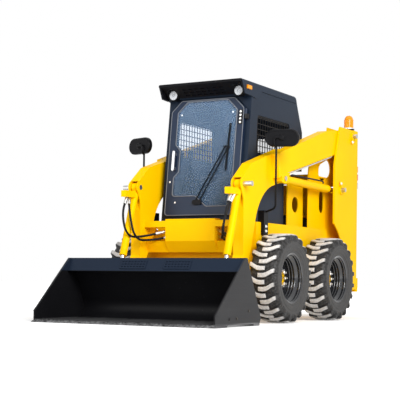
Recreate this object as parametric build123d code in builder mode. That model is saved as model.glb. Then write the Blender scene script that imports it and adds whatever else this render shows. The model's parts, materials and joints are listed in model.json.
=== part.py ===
from build123d import *
import os
from math import asin, atan, cos, degrees, hypot, radians, sin, sqrt, tan

os.makedirs("parts", exist_ok=True)

# All sizes are in millimetres. While modelling, x grows to the machine's left, y grows to
# the rear from the front axle, and z grows up from the ground.

# Wheels
TYRE_R = 387.0
TYRE_W = 264.0
TYRE_X = 723.0
WHEELBASE = 1020.0
TYRE_SIDES = 24
TYRE_SHOULDER = 32.0
LUG_COUNT = 20
LUG_DEPTH = 26.0
LUG_W = 42.0
LUG_TAPER = 4.0
LUG_RISE = 42.0
LUG_PAST = 34.0
LUG_INSET = 6.0
BEAD_R = 212.0
BEAD_HALF = 105.0
RIM_FLANGE_R = 228.0
RIM_WALL = 8.0
WELL_DEPTH = 24.0
WELL_HALF = 55.0
WELL_RAMP = 18.0
DISC_INSET = 40.0
DISC_T = 14.0
HUB_R = 92.0
HUB_LENGTH = 46.0
HUB_FACE = 10.0
HUB_CAP_R = 41.0
NUT_CIRCLE_R = 69.0
NUT_R = 11.0
NUT_HEIGHT = 16.0
NUT_COUNT = 8
AXLE_R = 68.0
AXLE_FLANGE_R = 98.0
AXLE_FLANGE_T = 14.0

# Lower frame
CASE_IN = 400.0
CASE_OUT = 560.0
CASE_TOP = 872.0
CASE_FRONT = -150.0
CASE_REAR = WHEELBASE + 350.0
GROUND_CLEARANCE = 190.0
BELLY_T = 12.0
BELLY_REAR_RISE = 95.0
CASE_CHIN = 90.0
CASE_TAIL = 120.0

# Towers
TOWER_IN = 500.0
TOWER_OUT = 650.0
TOWER_T = 12.0
TOWER_TOP = 1890.0
TOWER_FRONT = WHEELBASE + 330.0
TOWER_REAR = WHEELBASE + 915.0
TOWER_INNER_FRONT = WHEELBASE + 20.0
TOWER_FOOT_FRONT = WHEELBASE + 590.0
TOWER_ARCH_R = TYRE_R + 248.0
TOWER_CAP = 125.0
TOWER_CAP_T = 10.0
TOWER_NOSE = 130.0
TOWER_BROW = 40.0
TOWER_CHEST = 390.0
TOWER_SHOULDER = 286.0
TOWER_BOSS = 12.0
TOWER_HEM = (45.0, 6.0)
HOSE_HOLE = (300.0, 170.0)
HAND_HOLE = (215.0, 115.0)
BUMPER_DEPTH = 39.0
BUMPER_LOW = 262.0
BUMPER_HIGH = 402.0
BUMPER_ROUND = 12.0
TIE_DOWN_X = 560.0
TIE_DOWN_R = 12.0

# Pins of the loader linkage, as (y, z)
LIFT_PIVOT = (WHEELBASE + 770.0, TOWER_TOP - 62.0)
LIFT_BASE_PIN = (WHEELBASE + 485.0, 1267.0)
LIFT_ARM_PIN = (275.0, 1278.0)
TILT_PIN = (-400.0, 1179.0)
BUCKET_PIN = (-575.0, 190.0)
TILT_ROD_PIN = (-670.0, 350.0)
PIN_R = 22.0
PIN_FIT = 0.3
PIN_END = 50.0
PIN_HEAD = 6.0
EYE_PLAY = 1.0
BOSS_R = 50.0

# Loader arms
BEAM_IN = 533.0
BEAM_OUT = 628.0
LEG_IN = 469.0
LEG_OUT = 564.0
BEAM_FRONT = 120.0
ARM_TOP_SLOPE = 0.308
ARM_BEND = (-255.0, 1369.0)
LEG_FRONT = -400.0
LEG_KNEE = 577.0
LEG_LIP = 52.0
LEG_LAP = 230.0
CROSS_FRONT = -330.0
CROSS_REAR = -235.0
CROSS_TOP = 897.0
CROSS_LOW = 703.0
CROSS_FOOT = 606.0
CROSS_HALF = 250.0
CROSS_WING = 55.0
CROSS_STEP = 15.0
CROSS_BEVEL = 62.0
GUSSET = 120.0

# Cylinders
LIFT_BARREL_R = 37.0
LIFT_ROD_R = 20.0
LIFT_ROD_SHOWN = 180.0
LIFT_ROD_REST = 150.0
TILT_BARREL_R = 33.0
TILT_ROD_R = 18.0
TILT_ROD_SHOWN = 232.0
TILT_ROD_REST = 262.0
EYE_R = 40.0
EYE_W = 50.0
TILT_EYE_R = 34.0
NECK_R = 24.0
LIFT_NECK = 82.0
TILT_NECK = 58.0
ROD_FIT = 0.3
HOSE_R = 10.0
FERRULE_R = 14.0
FERRULE_LENGTH = 62.0
PORT_SEAT = 0.45
PORT_DOWN = 70.0
PORT_HALF = 28.0
PORT_REACH = 178.0

# Bucket
BUCKET_HALF = 860.0
BLADE_FRONT = -1426.0
BLADE_DEPTH = 200.0
BLADE_T = 14.0
BUCKET_SHEET = 10.0
BUCKET_SIDE = 14.0
BUCKET_LIP_FRONT = -1404.0
BUCKET_LIP_HIGH = 91.0
BUCKET_APEX = (-925.0, 541.0)
BUCKET_TOP_REAR = -888.0
BUCKET_HEEL = (-640.0, 60.0)
BUCKET_HEEL_R = 110.0
BUCKET_LIP_DROP = 113.0
BUCKET_LIP_REACH = 62.0
BUCKET_PAD = (-764.0, -663.0)
SIDE_BAR = 46.0
SIDE_BAR_T = 6.0
STEP_PLATE = (254.0, 84.0)
STEP_PLATE_T = 6.0
STEP_PLATE_X = (-188.0, 240.0)
STEP_SLOT = (20.0, 12.0)
STEP_SLOT_PITCH = (30.0, 24.0)
HITCH_T = 36.0
HITCH_LOW = 22.0
HITCH_HIGH = 330.0
HITCH_HALF = 610.0
HITCH_NOTCH = 190.0
EAR_T = 18.0
EAR_GAP = 5.0

# Cab
CAB_HALF = 420.0
CAB_WALL = 12.0
CAB_FLOOR = CASE_TOP
CAB_FRONT_FOOT = -128.0
CAB_RAKE = 0.122
CAB_ROOF_TOP = 2118.0
CAB_ROOF_DEPTH = 62.0
CAB_ROOF_LOW = CAB_ROOF_TOP - CAB_ROOF_DEPTH
CAB_VISOR_TIP = -193.0
CAB_REAR_TOP = 950.0
CAB_REAR_DROP = 324.0
CAB_WAIST_REAR = 1075.0
CAB_WAIST = 1420.0
CAB_LEDGE = 20.0
CAB_SEAT_WALL = 680.0
CAB_FRAME_T = 40.0
CAB_POST = 46.0
SKIRT_T = 6.0
SKIRT_LOW = 138.0
SKIRT_REAR = 190.0
CHEEK_LOW = 122.0
CHEEK_FRONT = 61.0
VENT = (40.0, 16.0)
VENT_PITCH = (62.0, 38.0)
VENT_DEPTH = 6.0
LAMP_X = 334.0
LAMP_Y = -62.0
LAMP_Z = CAB_ROOF_TOP - 84.0
LAMP_R = 46.0
LAMP_DEPTH = 60.0
LAMP_GAP = 4.0
MARKER = (12.0, 80.0, 32.0)
DOOR_GAP = 6.0
DOOR_T = 30.0
DOOR_HALF = 374.0
DOOR_LOW = 930.0
DOOR_HIGH = CAB_ROOF_TOP - 134.0
DOOR_HEAD = 12.0
DOOR_CHAMFER = 100.0
DOOR_ROUND = 28.0
GLASS_SIDE = 86.0
GLASS_HEAD = 32.0
GLASS_CHAMFER = 86.0
GLASS_FOOT = 97.0
GLASS_STEP = 93.0
GLASS_JOG = 50.0
GLASS_T = 8.0
GLASS_LAP = 15.0
GLASS_FIT = 0.4
GLASS_ROUND = 24.0
HANDLE_Z = 1428.0
HANDLE_LENGTH = 184.0
HANDLE_W = 26.0
HANDLE_OUT = 34.0
WIPER_FOOT = (-35.0, 1047.0)
WIPER_BLADE = (241.0, 1535.0)
WIPER_LENGTH = 420.0
WIPER_ARM = 10.0
WIPER_SPREAD = 44.0
HINGE_OFF = 14.0
HINGE_DEPTH = 30.0
HINGE_R = 11.0
HINGE_PIN_R = 6.0
HINGE_LEAF = 42.0
HINGE_HEIGHTS = (1080.0, 1785.0)
WINDOW_LOW = CAB_WAIST + 75.0
WINDOW_HIGH = CAB_ROOF_TOP - 278.0
WINDOW_FRONT = 125.0
WINDOW_REAR = 815.0
WINDOW_SLANT = 25.0
WINDOW_ROUND = 35.0
MESH_EDGE = 14.0
MESH_PITCH = 50.0
MESH_WIRE = 6.0
REAR_WINDOW_HALF = 300.0
REAR_WINDOW_EDGE = 40.0
REAR_PANE_T = 6.0

# Seat and controls
SEAT_Z = 1215.0
SEAT_HALF = 225.0
SEAT_FRONT = 150.0
SEAT_PAD = 102.0
SEAT_BACK = 570.0
SEAT_ROUND = 30.0
CONSOLE_X = 310.0
CONSOLE_HALF = 60.0
CONSOLE_RISE = 90.0
LEVER_Y = 200.0
LEVER_R = 14.0
LEVER_LENGTH = 180.0
BOOT_R = 42.0
GRIP_R = 24.0
GRIP_LENGTH = 88.0

# Mirrors and lamps
MIRROR = (300.0, 150.0, 44.0)
MIRROR_AT = (730.0, -7.0, 1602.0)
MIRROR_YAW = 18.0
MIRROR_EDGE = 10.0
STEM_X = 680.0
STEM_R = 9.0
STEM_BEND = 45.0
STEM_FOOT = 82.0
STEM_CLAMP = 40.0
STEM_PLATE = 110.0

BEACON_R = 50.0
BEACON_RIM = 8.0
BEACON_BASE = 22.0
BEACON_HEIGHT = 162.0
TAIL_LAMP_LOW = 1300.0
TAIL_LAMP_HIGH = 1550.0
TAIL_LAMP_DEPTH = 28.0
TAIL_LAMP_EDGE = 24.0

# Engine bay
PANEL_X = 440.0
PANEL_HOLE_R = 75.0
HOOD_Z = 1380.0
HOOD_T = 14.0
HOOD_GAP = 30.0
REAR_DOOR_LOW = 425.0
REAR_DOOR_HIGH = 1370.0
REAR_DOOR_T = 30.0
REAR_DOOR_HALF = 488.0
REAR_HINGE_HEIGHTS = (600.0, 1180.0)
REAR_HINGE_OFF = 4.0
ENGINE_HALF = 280.0
ENGINE_HEAD_HALF = 200.0
ENGINE_FRONT = 130.0
ENGINE_LENGTH = 610.0
ENGINE_HEAD_IN = 50.0
ENGINE_LOW = 297.0
ENGINE_HIGH = 1010.0
ENGINE_DECK = 760.0
PANEL_GAP = 20.0
PANEL_TOP = 1300.0
HOOD_SLOTS = 11
HOOD_SLOT = (330.0, 20.0)
HOOD_SLOT_PITCH = 48.0
LOUVRES = 9
LOUVRE = (720.0, 26.0)
LOUVRE_PITCH = 58.0
LOUVRE_DEPTH = 14.0

# The finished pieces are moved so that the origin lies under the middle of the length.
REAR_END = TOWER_REAR + BUMPER_DEPTH
ORIGIN_SHIFT = -(BLADE_FRONT + REAR_END) / 2


def write(shape, name):
    """Move a finished piece to the common origin, label it and export it."""
    placed = Pos(0, ORIGIN_SHIFT, 0) * shape
    placed.label = name
    export_step(placed, f"parts/{name}.step")


def side_face(points, x):
    """A face in the side view, from (y, z) points, at the distance x from the middle."""
    with BuildSketch(Plane.YZ.offset(x)) as face:
        with BuildLine():
            Polyline(*points, close=True)
        make_face()
    return face.sketch


def top_face(points, z):
    """A face in the plan view, from (x, y) points, at the height z."""
    with BuildSketch(Plane.XY.offset(z)) as face:
        with BuildLine():
            Polyline(*points, close=True)
        make_face()
    return face.sketch


def round_face(plane, centre, radius):
    """A round face on a plane, its centre in that plane's coordinates."""
    with BuildSketch(plane) as face:
        with Locations(centre):
            Circle(radius)
    return face.sketch


def block(x_range, y_range, z_range, mode=Mode.ADD):
    """A square block between two values on each axis."""
    corners = [
        (x_range[0], y_range[0]),
        (x_range[1], y_range[0]),
        (x_range[1], y_range[1]),
        (x_range[0], y_range[1]),
    ]
    extrude(top_face(corners, z_range[0]), amount=z_range[1] - z_range[0], mode=mode)


def plate(points, x_from, x_to, mode=Mode.ADD):
    """A plate standing in the side view between two distances from the middle."""
    extrude(side_face(points, x_from), amount=x_to - x_from, mode=mode)


def cross_pin(centre, radius, x_from, x_to, mode=Mode.ADD):
    """A round bar across the machine between two distances from the middle."""
    extrude(round_face(Plane.YZ.offset(x_from), centre, radius), amount=x_to - x_from, mode=mode)


def along(start, end, distance):
    """The point at a distance from start on the line to end, in the side view."""
    span = hypot(end[0] - start[0], end[1] - start[1])
    share = distance / span
    return (start[0] + (end[0] - start[0]) * share, start[1] + (end[1] - start[1]) * share)


def line_plane(start, end, x, distance):
    """A plane across the line from start to end in the side view, its normal along the line."""
    at = along(start, end, distance)
    return Plane(
        origin=(x, at[0], at[1]),
        x_dir=(1, 0, 0),
        z_dir=(0, end[0] - start[0], end[1] - start[1]),
    )


def rod_between(start, end, x, near, far, radius, mode=Mode.ADD):
    """A round bar on the line from start to end between two distances from start."""
    extrude(round_face(line_plane(start, end, x, near), (0, 0), radius), amount=far - near, mode=mode)


def cab_front(z):
    """The y of the cab's raked front frame at the height z."""
    return CAB_FRONT_FOOT + CAB_RAKE * (z - CAB_FLOOR)


# Wheels: a faceted carcass with two rows of bar lugs, each row half a pitch from the other
TREAD_R = TYRE_R - LUG_DEPTH
TREAD_HALF = TYRE_W / 2 - TYRE_SHOULDER
BELLY_R = (BEAD_R + TYRE_R) / 2
LUG_END = TYRE_W / 2 - LUG_INSET
LUG_HALF = (LUG_RISE + LUG_W) / 2
LUG_TOP = sqrt(TYRE_R**2 - LUG_HALF**2)
LUG_PITCH = 360 / LUG_COUNT
LUG_TURN = -degrees(asin(LUG_HALF / TYRE_R))


def tyre_ring(x, apothem):
    """A many-sided face across the axle at the distance x from the tyre's middle."""
    with BuildSketch(Plane.YZ.offset(x)) as face:
        RegularPolygon(apothem, TYRE_SIDES, major_radius=False)
    return face.sketch


with BuildPart() as lug:
    with BuildSketch(Plane.XY.offset(LUG_TOP)):
        with BuildLine():
            Polyline(
                (-LUG_PAST, -LUG_HALF),
                (LUG_END, LUG_HALF - LUG_W + LUG_TAPER),
                (LUG_END, LUG_HALF),
                (-LUG_PAST, LUG_W - LUG_HALF),
                close=True,
            )
        make_face()
    extrude(amount=-(LUG_TOP - BELLY_R), taper=-3)
lug_right = mirror(lug.part, about=Plane.YZ)

with BuildPart() as tyre:
    loft([tyre_ring(-TYRE_W / 2, BELLY_R), tyre_ring(-TREAD_HALF, TREAD_R)], ruled=True)
    extrude(tyre_ring(-TREAD_HALF, TREAD_R), amount=2 * TREAD_HALF)
    loft([tyre_ring(TREAD_HALF, TREAD_R), tyre_ring(TYRE_W / 2, BELLY_R)], ruled=True)
    with Locations(*[Location((0, 0, 0), (LUG_TURN + k * LUG_PITCH, 0, 0)) for k in range(LUG_COUNT)]):
        add(lug.part)
    with Locations(*[Location((0, 0, 0), (LUG_TURN + (k + 0.5) * LUG_PITCH, 0, 0)) for k in range(LUG_COUNT)]):
        add(lug_right)
    for side in (-1, 1):
        dish = [tyre_ring(side * TYRE_W / 2, BELLY_R), tyre_ring(side * BEAD_HALF, BEAD_R)]
        loft(dish, ruled=True, mode=Mode.SUBTRACT)
    extrude(tyre_ring(-TYRE_W, BEAD_R), amount=2 * TYRE_W, mode=Mode.SUBTRACT)

SEAT_R = BEAD_R - PIN_FIT
WELL_R = BEAD_R - WELL_DEPTH
SEAT_X = BEAD_HALF + PIN_FIT
FLANGE_X = SEAT_X + (RIM_FLANGE_R - SEAT_R) * (TYRE_W / 2 - BEAD_HALF) / (BELLY_R - BEAD_R)
RIM_EDGE = FLANGE_X + RIM_WALL
RAMP_X = WELL_HALF + WELL_RAMP
STEP_X = RIM_WALL / 2
DISC_X = -DISC_INSET
DISC_FACE = DISC_X + DISC_T
AXLE_END = TYRE_X + DISC_X - HUB_LENGTH - PIN_FIT

with BuildPart() as rim:
    with BuildSketch(Plane.XZ):
        with BuildLine():
            Polyline(
                (-RIM_EDGE, RIM_FLANGE_R),
                (-FLANGE_X, RIM_FLANGE_R),
                (-SEAT_X, SEAT_R),
                (-RAMP_X, SEAT_R),
                (-WELL_HALF, WELL_R),
                (WELL_HALF, WELL_R),
                (RAMP_X, SEAT_R),
                (SEAT_X, SEAT_R),
                (FLANGE_X, RIM_FLANGE_R),
                (RIM_EDGE, RIM_FLANGE_R),
                (SEAT_X + STEP_X, SEAT_R - RIM_WALL),
                (RAMP_X + STEP_X, SEAT_R - RIM_WALL),
                (WELL_HALF + STEP_X, WELL_R - RIM_WALL),
                (DISC_FACE, WELL_R - RIM_WALL),
                (DISC_FACE, 0),
                (DISC_X - HUB_LENGTH, 0),
                (DISC_X - HUB_LENGTH, HUB_R),
                (DISC_X, HUB_R),
                (DISC_X, WELL_R - RIM_WALL),
                (-WELL_HALF - STEP_X, WELL_R - RIM_WALL),
                (-RAMP_X - STEP_X, SEAT_R - RIM_WALL),
                (-SEAT_X - STEP_X, SEAT_R - RIM_WALL),
                close=True,
            )
        make_face()
    revolve(axis=Axis.X)
    with BuildSketch(Plane.YZ.offset(DISC_FACE)):
        Circle(HUB_R)
    extrude(amount=HUB_FACE)
    with BuildSketch(Plane.YZ.offset(DISC_FACE + HUB_FACE)):
        Circle(HUB_CAP_R)
        with PolarLocations(NUT_CIRCLE_R, NUT_COUNT):
            RegularPolygon(NUT_R, 6)
    extrude(amount=NUT_HEIGHT)

wheels = {
    "front_left": (1, 0.0),
    "front_right": (-1, 0.0),
    "rear_left": (1, WHEELBASE),
    "rear_right": (-1, WHEELBASE),
}
rim_right = mirror(rim.part, about=Plane.YZ)
for place, (side, axle_y) in wheels.items():
    at = Pos(side * TYRE_X, axle_y, TYRE_R)
    write(at * tyre.part, f"tyre_{place}")
    write(at * (rim.part if side > 0 else rim_right), f"rim_{place}")

with BuildPart() as axle_housings:
    for axle_y in (0.0, WHEELBASE):
        cross_pin((axle_y, TYRE_R), AXLE_FLANGE_R, CASE_OUT, CASE_OUT + AXLE_FLANGE_T)
        cross_pin((axle_y, TYRE_R), AXLE_R, CASE_OUT, AXLE_END)
    mirror(about=Plane.YZ)
write(axle_housings.part, "axle_housings")

# Lower frame: two chain cases joined by the belly plate and the front wall
BELLY_TOP = GROUND_CLEARANCE + BELLY_T
BELLY_REAR = GROUND_CLEARANCE + BELLY_REAR_RISE
CASE_OUTLINE = [
    (CASE_FRONT, CASE_TOP),
    (CASE_FRONT, GROUND_CLEARANCE + CASE_CHIN),
    (CASE_FRONT + CASE_CHIN, GROUND_CLEARANCE),
    (CASE_REAR - CASE_TAIL, GROUND_CLEARANCE),
    (CASE_REAR, BELLY_REAR - BELLY_T),
    (CASE_REAR, CASE_TOP),
]
with BuildPart() as chassis_frame:
    plate(CASE_OUTLINE, CASE_IN, CASE_OUT)
    mirror(about=Plane.YZ)
    block((-CASE_IN, CASE_IN), (CASE_FRONT, CASE_FRONT + BELLY_T), (BELLY_TOP, CASE_TOP))
    belly = [
        (CASE_FRONT, GROUND_CLEARANCE),
        (CASE_REAR - CASE_TAIL, GROUND_CLEARANCE),
        (CASE_REAR, BELLY_REAR),
        (TOWER_REAR, BELLY_REAR),
        (TOWER_REAR, BELLY_REAR + BELLY_T),
        (CASE_REAR - BELLY_T / 2, BELLY_REAR + BELLY_T),
        (CASE_REAR - CASE_TAIL - BELLY_T / 2, BELLY_TOP),
        (CASE_FRONT, BELLY_TOP),
    ]
    plate(belly, -CASE_IN, CASE_IN)
    block((-TOWER_IN, TOWER_IN), (CASE_REAR, TOWER_REAR), (BELLY_REAR, BELLY_REAR + BELLY_T))
write(chassis_frame.part, "chassis_frame")

# Towers: an outer and an inner plate with the loader arm between them
ARCH_START = (TOWER_FRONT, TYRE_R + (TOWER_ARCH_R**2 - (TOWER_FRONT - WHEELBASE) ** 2) ** 0.5)
ARCH_END = (
    TOWER_FOOT_FRONT,
    TYRE_R + (TOWER_ARCH_R**2 - (TOWER_FOOT_FRONT - WHEELBASE) ** 2) ** 0.5,
)
ARCH_MID = (WHEELBASE + TOWER_ARCH_R * cos(radians(42)), TYRE_R + TOWER_ARCH_R * sin(radians(42)))
NOSE_Y = TOWER_FRONT + TOWER_NOSE
BEACON_FOOT = TOWER_TOP + TOWER_CAP_T / 2
CAP_LOW = BEACON_FOOT - TOWER_CAP_T
with BuildPart() as tower_left:
    with BuildSketch(Plane.YZ.offset(TOWER_OUT - TOWER_T)):
        with BuildLine():
            ThreePointArc(ARCH_START, ARCH_MID, ARCH_END)
            Polyline(
                ARCH_END,
                (TOWER_FOOT_FRONT, BELLY_REAR),
                (TOWER_REAR, BELLY_REAR),
                (TOWER_REAR, TOWER_TOP),
                (NOSE_Y, TOWER_TOP),
                (NOSE_Y - TOWER_BROW / 2, TOWER_TOP - TOWER_BROW),
                (TOWER_FRONT, TOWER_TOP - TOWER_CHEST),
                ARCH_START,
            )
        make_face()
    extrude(amount=TOWER_T)
    with BuildSketch(Plane.YZ.offset(TOWER_IN)):
        with BuildLine():
            Polyline(
                (NOSE_Y - TOWER_BROW, TOWER_TOP - TOWER_SHOULDER + TOWER_BROW / 2),
                (NOSE_Y, TOWER_TOP),
                (TOWER_REAR, TOWER_TOP),
                (TOWER_REAR, BELLY_REAR),
                (CASE_REAR, BELLY_REAR),
                (CASE_REAR, CASE_TOP),
                (TOWER_INNER_FRONT, CASE_TOP),
                (TOWER_INNER_FRONT, TOWER_TOP - TOWER_CHEST - TOWER_NOSE),
            )
            ThreePointArc(
                (TOWER_INNER_FRONT, TOWER_TOP - TOWER_CHEST - TOWER_NOSE),
                (TOWER_INNER_FRONT + TOWER_NOSE / 2, TOWER_TOP - TOWER_CHEST + TOWER_BROW),
                (TOWER_FRONT - TOWER_BROW, TOWER_TOP - TOWER_SHOULDER),
            )
            Line(
                (TOWER_FRONT - TOWER_BROW, TOWER_TOP - TOWER_SHOULDER),
                (NOSE_Y - TOWER_BROW, TOWER_TOP - TOWER_SHOULDER + TOWER_BROW / 2),
            )
        make_face()
        with Locations((LIFT_BASE_PIN[0] - HOSE_HOLE[0] * 0.3, LIFT_BASE_PIN[1] + HOSE_HOLE[1] * 1.12)):
            SlotOverall(*HOSE_HOLE, rotation=20, mode=Mode.SUBTRACT)
        with Locations((LIFT_BASE_PIN[0] - HAND_HOLE[0] * 0.75, LIFT_BASE_PIN[1] - HAND_HOLE[1] * 1.1)):
            SlotOverall(*HAND_HOLE, rotation=90, mode=Mode.SUBTRACT)
    extrude(amount=TOWER_T)
    hem = [
        (NOSE_Y, TOWER_TOP),
        (NOSE_Y - TOWER_BROW / 2, TOWER_TOP - TOWER_BROW),
        (TOWER_FRONT, TOWER_TOP - TOWER_CHEST),
        ARCH_START,
        (ARCH_START[0] + TOWER_HEM[0], ARCH_START[1]),
        (TOWER_FRONT + TOWER_HEM[0], TOWER_TOP - TOWER_CHEST),
        (NOSE_Y + TOWER_HEM[0], TOWER_TOP - TOWER_BROW),
        (NOSE_Y + TOWER_HEM[0], TOWER_TOP),
    ]
    plate(hem, TOWER_OUT - TOWER_T - TOWER_HEM[1], TOWER_OUT - TOWER_T)
    block((TOWER_IN, TOWER_OUT), (TOWER_REAR - TOWER_T, TOWER_REAR), (BELLY_REAR, TOWER_TOP))
    block((TOWER_IN, TOWER_OUT), (TOWER_REAR - TOWER_CAP, TOWER_REAR), (CAP_LOW, BEACON_FOOT))
    block((TOWER_IN, TOWER_OUT), (TOWER_FOOT_FRONT, TOWER_REAR), (BELLY_REAR, BELLY_REAR + TOWER_T))
    for centre in (LIFT_PIVOT, LIFT_BASE_PIN):
        cross_pin(centre, PIN_R * 2, TOWER_OUT - TOWER_T, TOWER_OUT + TOWER_BOSS)
        cross_pin(centre, PIN_R + PIN_FIT, TOWER_IN - PIN_END, TOWER_OUT + PIN_END, Mode.SUBTRACT)
tower_right = mirror(tower_left.part, about=Plane.YZ)
write(tower_left.part, "tower_left")
write(tower_right, "tower_right")

LIFT_X = (BEAM_IN + BEAM_OUT) / 2
with BuildPart() as tower_pins:
    cross_pin(LIFT_PIVOT, PIN_R, TOWER_IN - PIN_HEAD, TOWER_OUT + PIN_END)
    cross_pin(LIFT_BASE_PIN, PIN_R, TOWER_IN - PIN_HEAD, LIFT_X - EYE_W / 2 - EYE_PLAY)
    cross_pin(LIFT_BASE_PIN, PIN_R, LIFT_X + EYE_W / 2 + EYE_PLAY, TOWER_OUT + PIN_END)
    mirror(about=Plane.YZ)
write(tower_pins.part, "tower_pins")

with BuildPart() as rear_bumper:
    block((-TOWER_OUT, TOWER_OUT), (TOWER_REAR, TOWER_REAR + BUMPER_DEPTH), (BUMPER_LOW, BUMPER_HIGH))
    fillet(rear_bumper.edges().filter_by(Axis.X).group_by(Axis.Y)[-1], BUMPER_ROUND)
    for x in (-TIE_DOWN_X, TIE_DOWN_X):
        hole = round_face(Plane.XY.offset(BUMPER_LOW), (x, TOWER_REAR + BUMPER_DEPTH / 2), TIE_DOWN_R)
        extrude(hole, amount=BUMPER_HIGH - BUMPER_LOW, mode=Mode.SUBTRACT)
write(rear_bumper.part, "rear_bumper")

# Engine bay
ENGINE_Y = WHEELBASE + ENGINE_FRONT
with BuildPart() as engine_block:
    engine_rear = ENGINE_Y + ENGINE_LENGTH
    block((-ENGINE_HALF, ENGINE_HALF), (ENGINE_Y, engine_rear), (ENGINE_LOW, ENGINE_DECK))
    head_range = (ENGINE_Y + ENGINE_HEAD_IN, engine_rear - ENGINE_HEAD_IN)
    block((-ENGINE_HEAD_HALF, ENGINE_HEAD_HALF), head_range, (ENGINE_DECK, ENGINE_HIGH))
write(engine_block.part, "engine_block")

HOOD_FRONT = CAB_WAIST_REAR + HOOD_GAP
HOOD_REAR = TOWER_REAR - TOWER_T
with BuildPart() as engine_hood:
    block((-TOWER_IN, TOWER_IN), (HOOD_FRONT, HOOD_REAR), (HOOD_Z, HOOD_Z + HOOD_T))
    with BuildSketch(Plane.XY.offset(HOOD_Z)):
        with Locations((0, (HOOD_FRONT + HOOD_REAR) / 2)):
            with GridLocations(HOOD_SLOT[0] * 1.2, HOOD_SLOT_PITCH, 2, HOOD_SLOTS):
                Rectangle(*HOOD_SLOT)
    extrude(amount=HOOD_T, mode=Mode.SUBTRACT)
write(engine_hood.part, "engine_hood")

PANEL_FRONT = CAB_SEAT_WALL + PANEL_GAP
with BuildPart() as side_panels:
    panel = [
        (PANEL_FRONT, CASE_TOP),
        (TOWER_INNER_FRONT, CASE_TOP),
        (TOWER_INNER_FRONT, PANEL_TOP),
        (PANEL_FRONT, PANEL_TOP),
    ]
    plate(panel, PANEL_X, PANEL_X + TOWER_T)
    panel_middle = ((PANEL_FRONT + TOWER_INNER_FRONT) / 2, (CASE_TOP + PANEL_TOP) / 2)
    cross_pin(panel_middle, PANEL_HOLE_R, PANEL_X, PANEL_X + TOWER_T, Mode.SUBTRACT)
    mirror(about=Plane.YZ)
write(side_panels.part, "side_panels")

REAR_DOOR_Y = TOWER_REAR - REAR_DOOR_T
REAR_HINGE = (REAR_DOOR_HALF + REAR_HINGE_OFF, TOWER_REAR + HINGE_R)
REAR_DOOR_MIDDLE = (REAR_DOOR_LOW + REAR_DOOR_HIGH) / 2

with BuildPart() as rear_door:
    block(
        (-REAR_DOOR_HALF, REAR_DOOR_HALF),
        (REAR_DOOR_Y, TOWER_REAR),
        (REAR_DOOR_LOW, REAR_DOOR_HIGH),
    )
    with BuildSketch(Plane.XZ.offset(-TOWER_REAR)):
        with Locations((0, REAR_DOOR_MIDDLE)):
            with GridLocations(0, LOUVRE_PITCH, 1, LOUVRES):
                SlotOverall(*LOUVRE)
    extrude(amount=LOUVRE_DEPTH, mode=Mode.SUBTRACT)
    for z in REAR_HINGE_HEIGHTS:
        upper = z + HINGE_LEAF + PIN_FIT
        block((REAR_HINGE[0] - HINGE_LEAF, REAR_HINGE[0]), (TOWER_REAR, REAR_HINGE[1]), (upper, upper + HINGE_LEAF))
        extrude(round_face(Plane.XY.offset(upper), REAR_HINGE, HINGE_R), amount=HINGE_LEAF)
        bore = round_face(Plane.XY.offset(upper), REAR_HINGE, HINGE_PIN_R + PIN_FIT)
        extrude(bore, amount=HINGE_LEAF, mode=Mode.SUBTRACT)
write(rear_door.part, "rear_door")

# Cab: side walls, rear wall, floor, front frame and roof
FRONT_FOOT_Y = cab_front(CAB_FLOOR)
FRONT_TOP_Y = cab_front(CAB_ROOF_LOW)
LEDGE_Z = CAB_WAIST - CAB_LEDGE
REAR_BEND = CAB_ROOF_TOP - CAB_REAR_DROP
SIDE_OUTLINE = [
    (FRONT_FOOT_Y, CAB_FLOOR),
    (CAB_SEAT_WALL, CAB_FLOOR),
    (CAB_SEAT_WALL, LEDGE_Z),
    (CAB_WAIST_REAR, CAB_WAIST),
    (CAB_WAIST_REAR, REAR_BEND),
    (CAB_REAR_TOP, CAB_ROOF_LOW),
    (FRONT_TOP_Y, CAB_ROOF_LOW),
]


def window_face(x, shrink):
    """The side window's outline at the distance x from the middle, its edge moved in by shrink."""
    with BuildSketch(Plane.YZ.offset(x)) as face:
        with BuildLine():
            FilletPolyline(
                (WINDOW_FRONT - WINDOW_SLANT, WINDOW_LOW),
                (WINDOW_REAR, WINDOW_LOW),
                (WINDOW_REAR - WINDOW_SLANT, WINDOW_HIGH),
                (WINDOW_FRONT, WINDOW_HIGH),
                radius=WINDOW_ROUND,
                close=True,
            )
        make_face()
        if shrink != 0:
            offset(amount=-shrink, kind=Kind.ARC, mode=Mode.REPLACE)
    return face.sketch


CAB_INNER = CAB_HALF - CAB_WALL
with BuildPart() as cab_side_left:
    plate(SIDE_OUTLINE, CAB_INNER, CAB_HALF)
    extrude(window_face(CAB_INNER, 0), amount=CAB_WALL, mode=Mode.SUBTRACT)
write(cab_side_left.part, "cab_side_left")
write(mirror(cab_side_left.part, about=Plane.YZ), "cab_side_right")

with BuildPart() as side_guards:
    mesh_columns = int((WINDOW_REAR - WINDOW_FRONT) / MESH_PITCH) + 1
    mesh_rows = int((WINDOW_HIGH - WINDOW_LOW) / MESH_PITCH) + 1
    with BuildSketch(Plane.YZ.offset(CAB_INNER)):
        with Locations(((WINDOW_FRONT + WINDOW_REAR) / 2, (WINDOW_LOW + WINDOW_HIGH) / 2)):
            with GridLocations(MESH_PITCH, 0, mesh_columns, 1):
                Rectangle(MESH_WIRE, WINDOW_HIGH - WINDOW_LOW)
            with GridLocations(0, MESH_PITCH, 1, mesh_rows):
                Rectangle(WINDOW_REAR - WINDOW_FRONT + 2 * WINDOW_SLANT, MESH_WIRE)
    extrude(amount=MESH_WIRE)
    extrude(window_face(CAB_INNER, 0), amount=MESH_WIRE, mode=Mode.INTERSECT)
    with BuildPart():
        extrude(window_face(CAB_INNER, 0), amount=MESH_WIRE)
        extrude(window_face(CAB_INNER, MESH_EDGE), amount=MESH_WIRE, mode=Mode.SUBTRACT)
    mirror(about=Plane.YZ)
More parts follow.
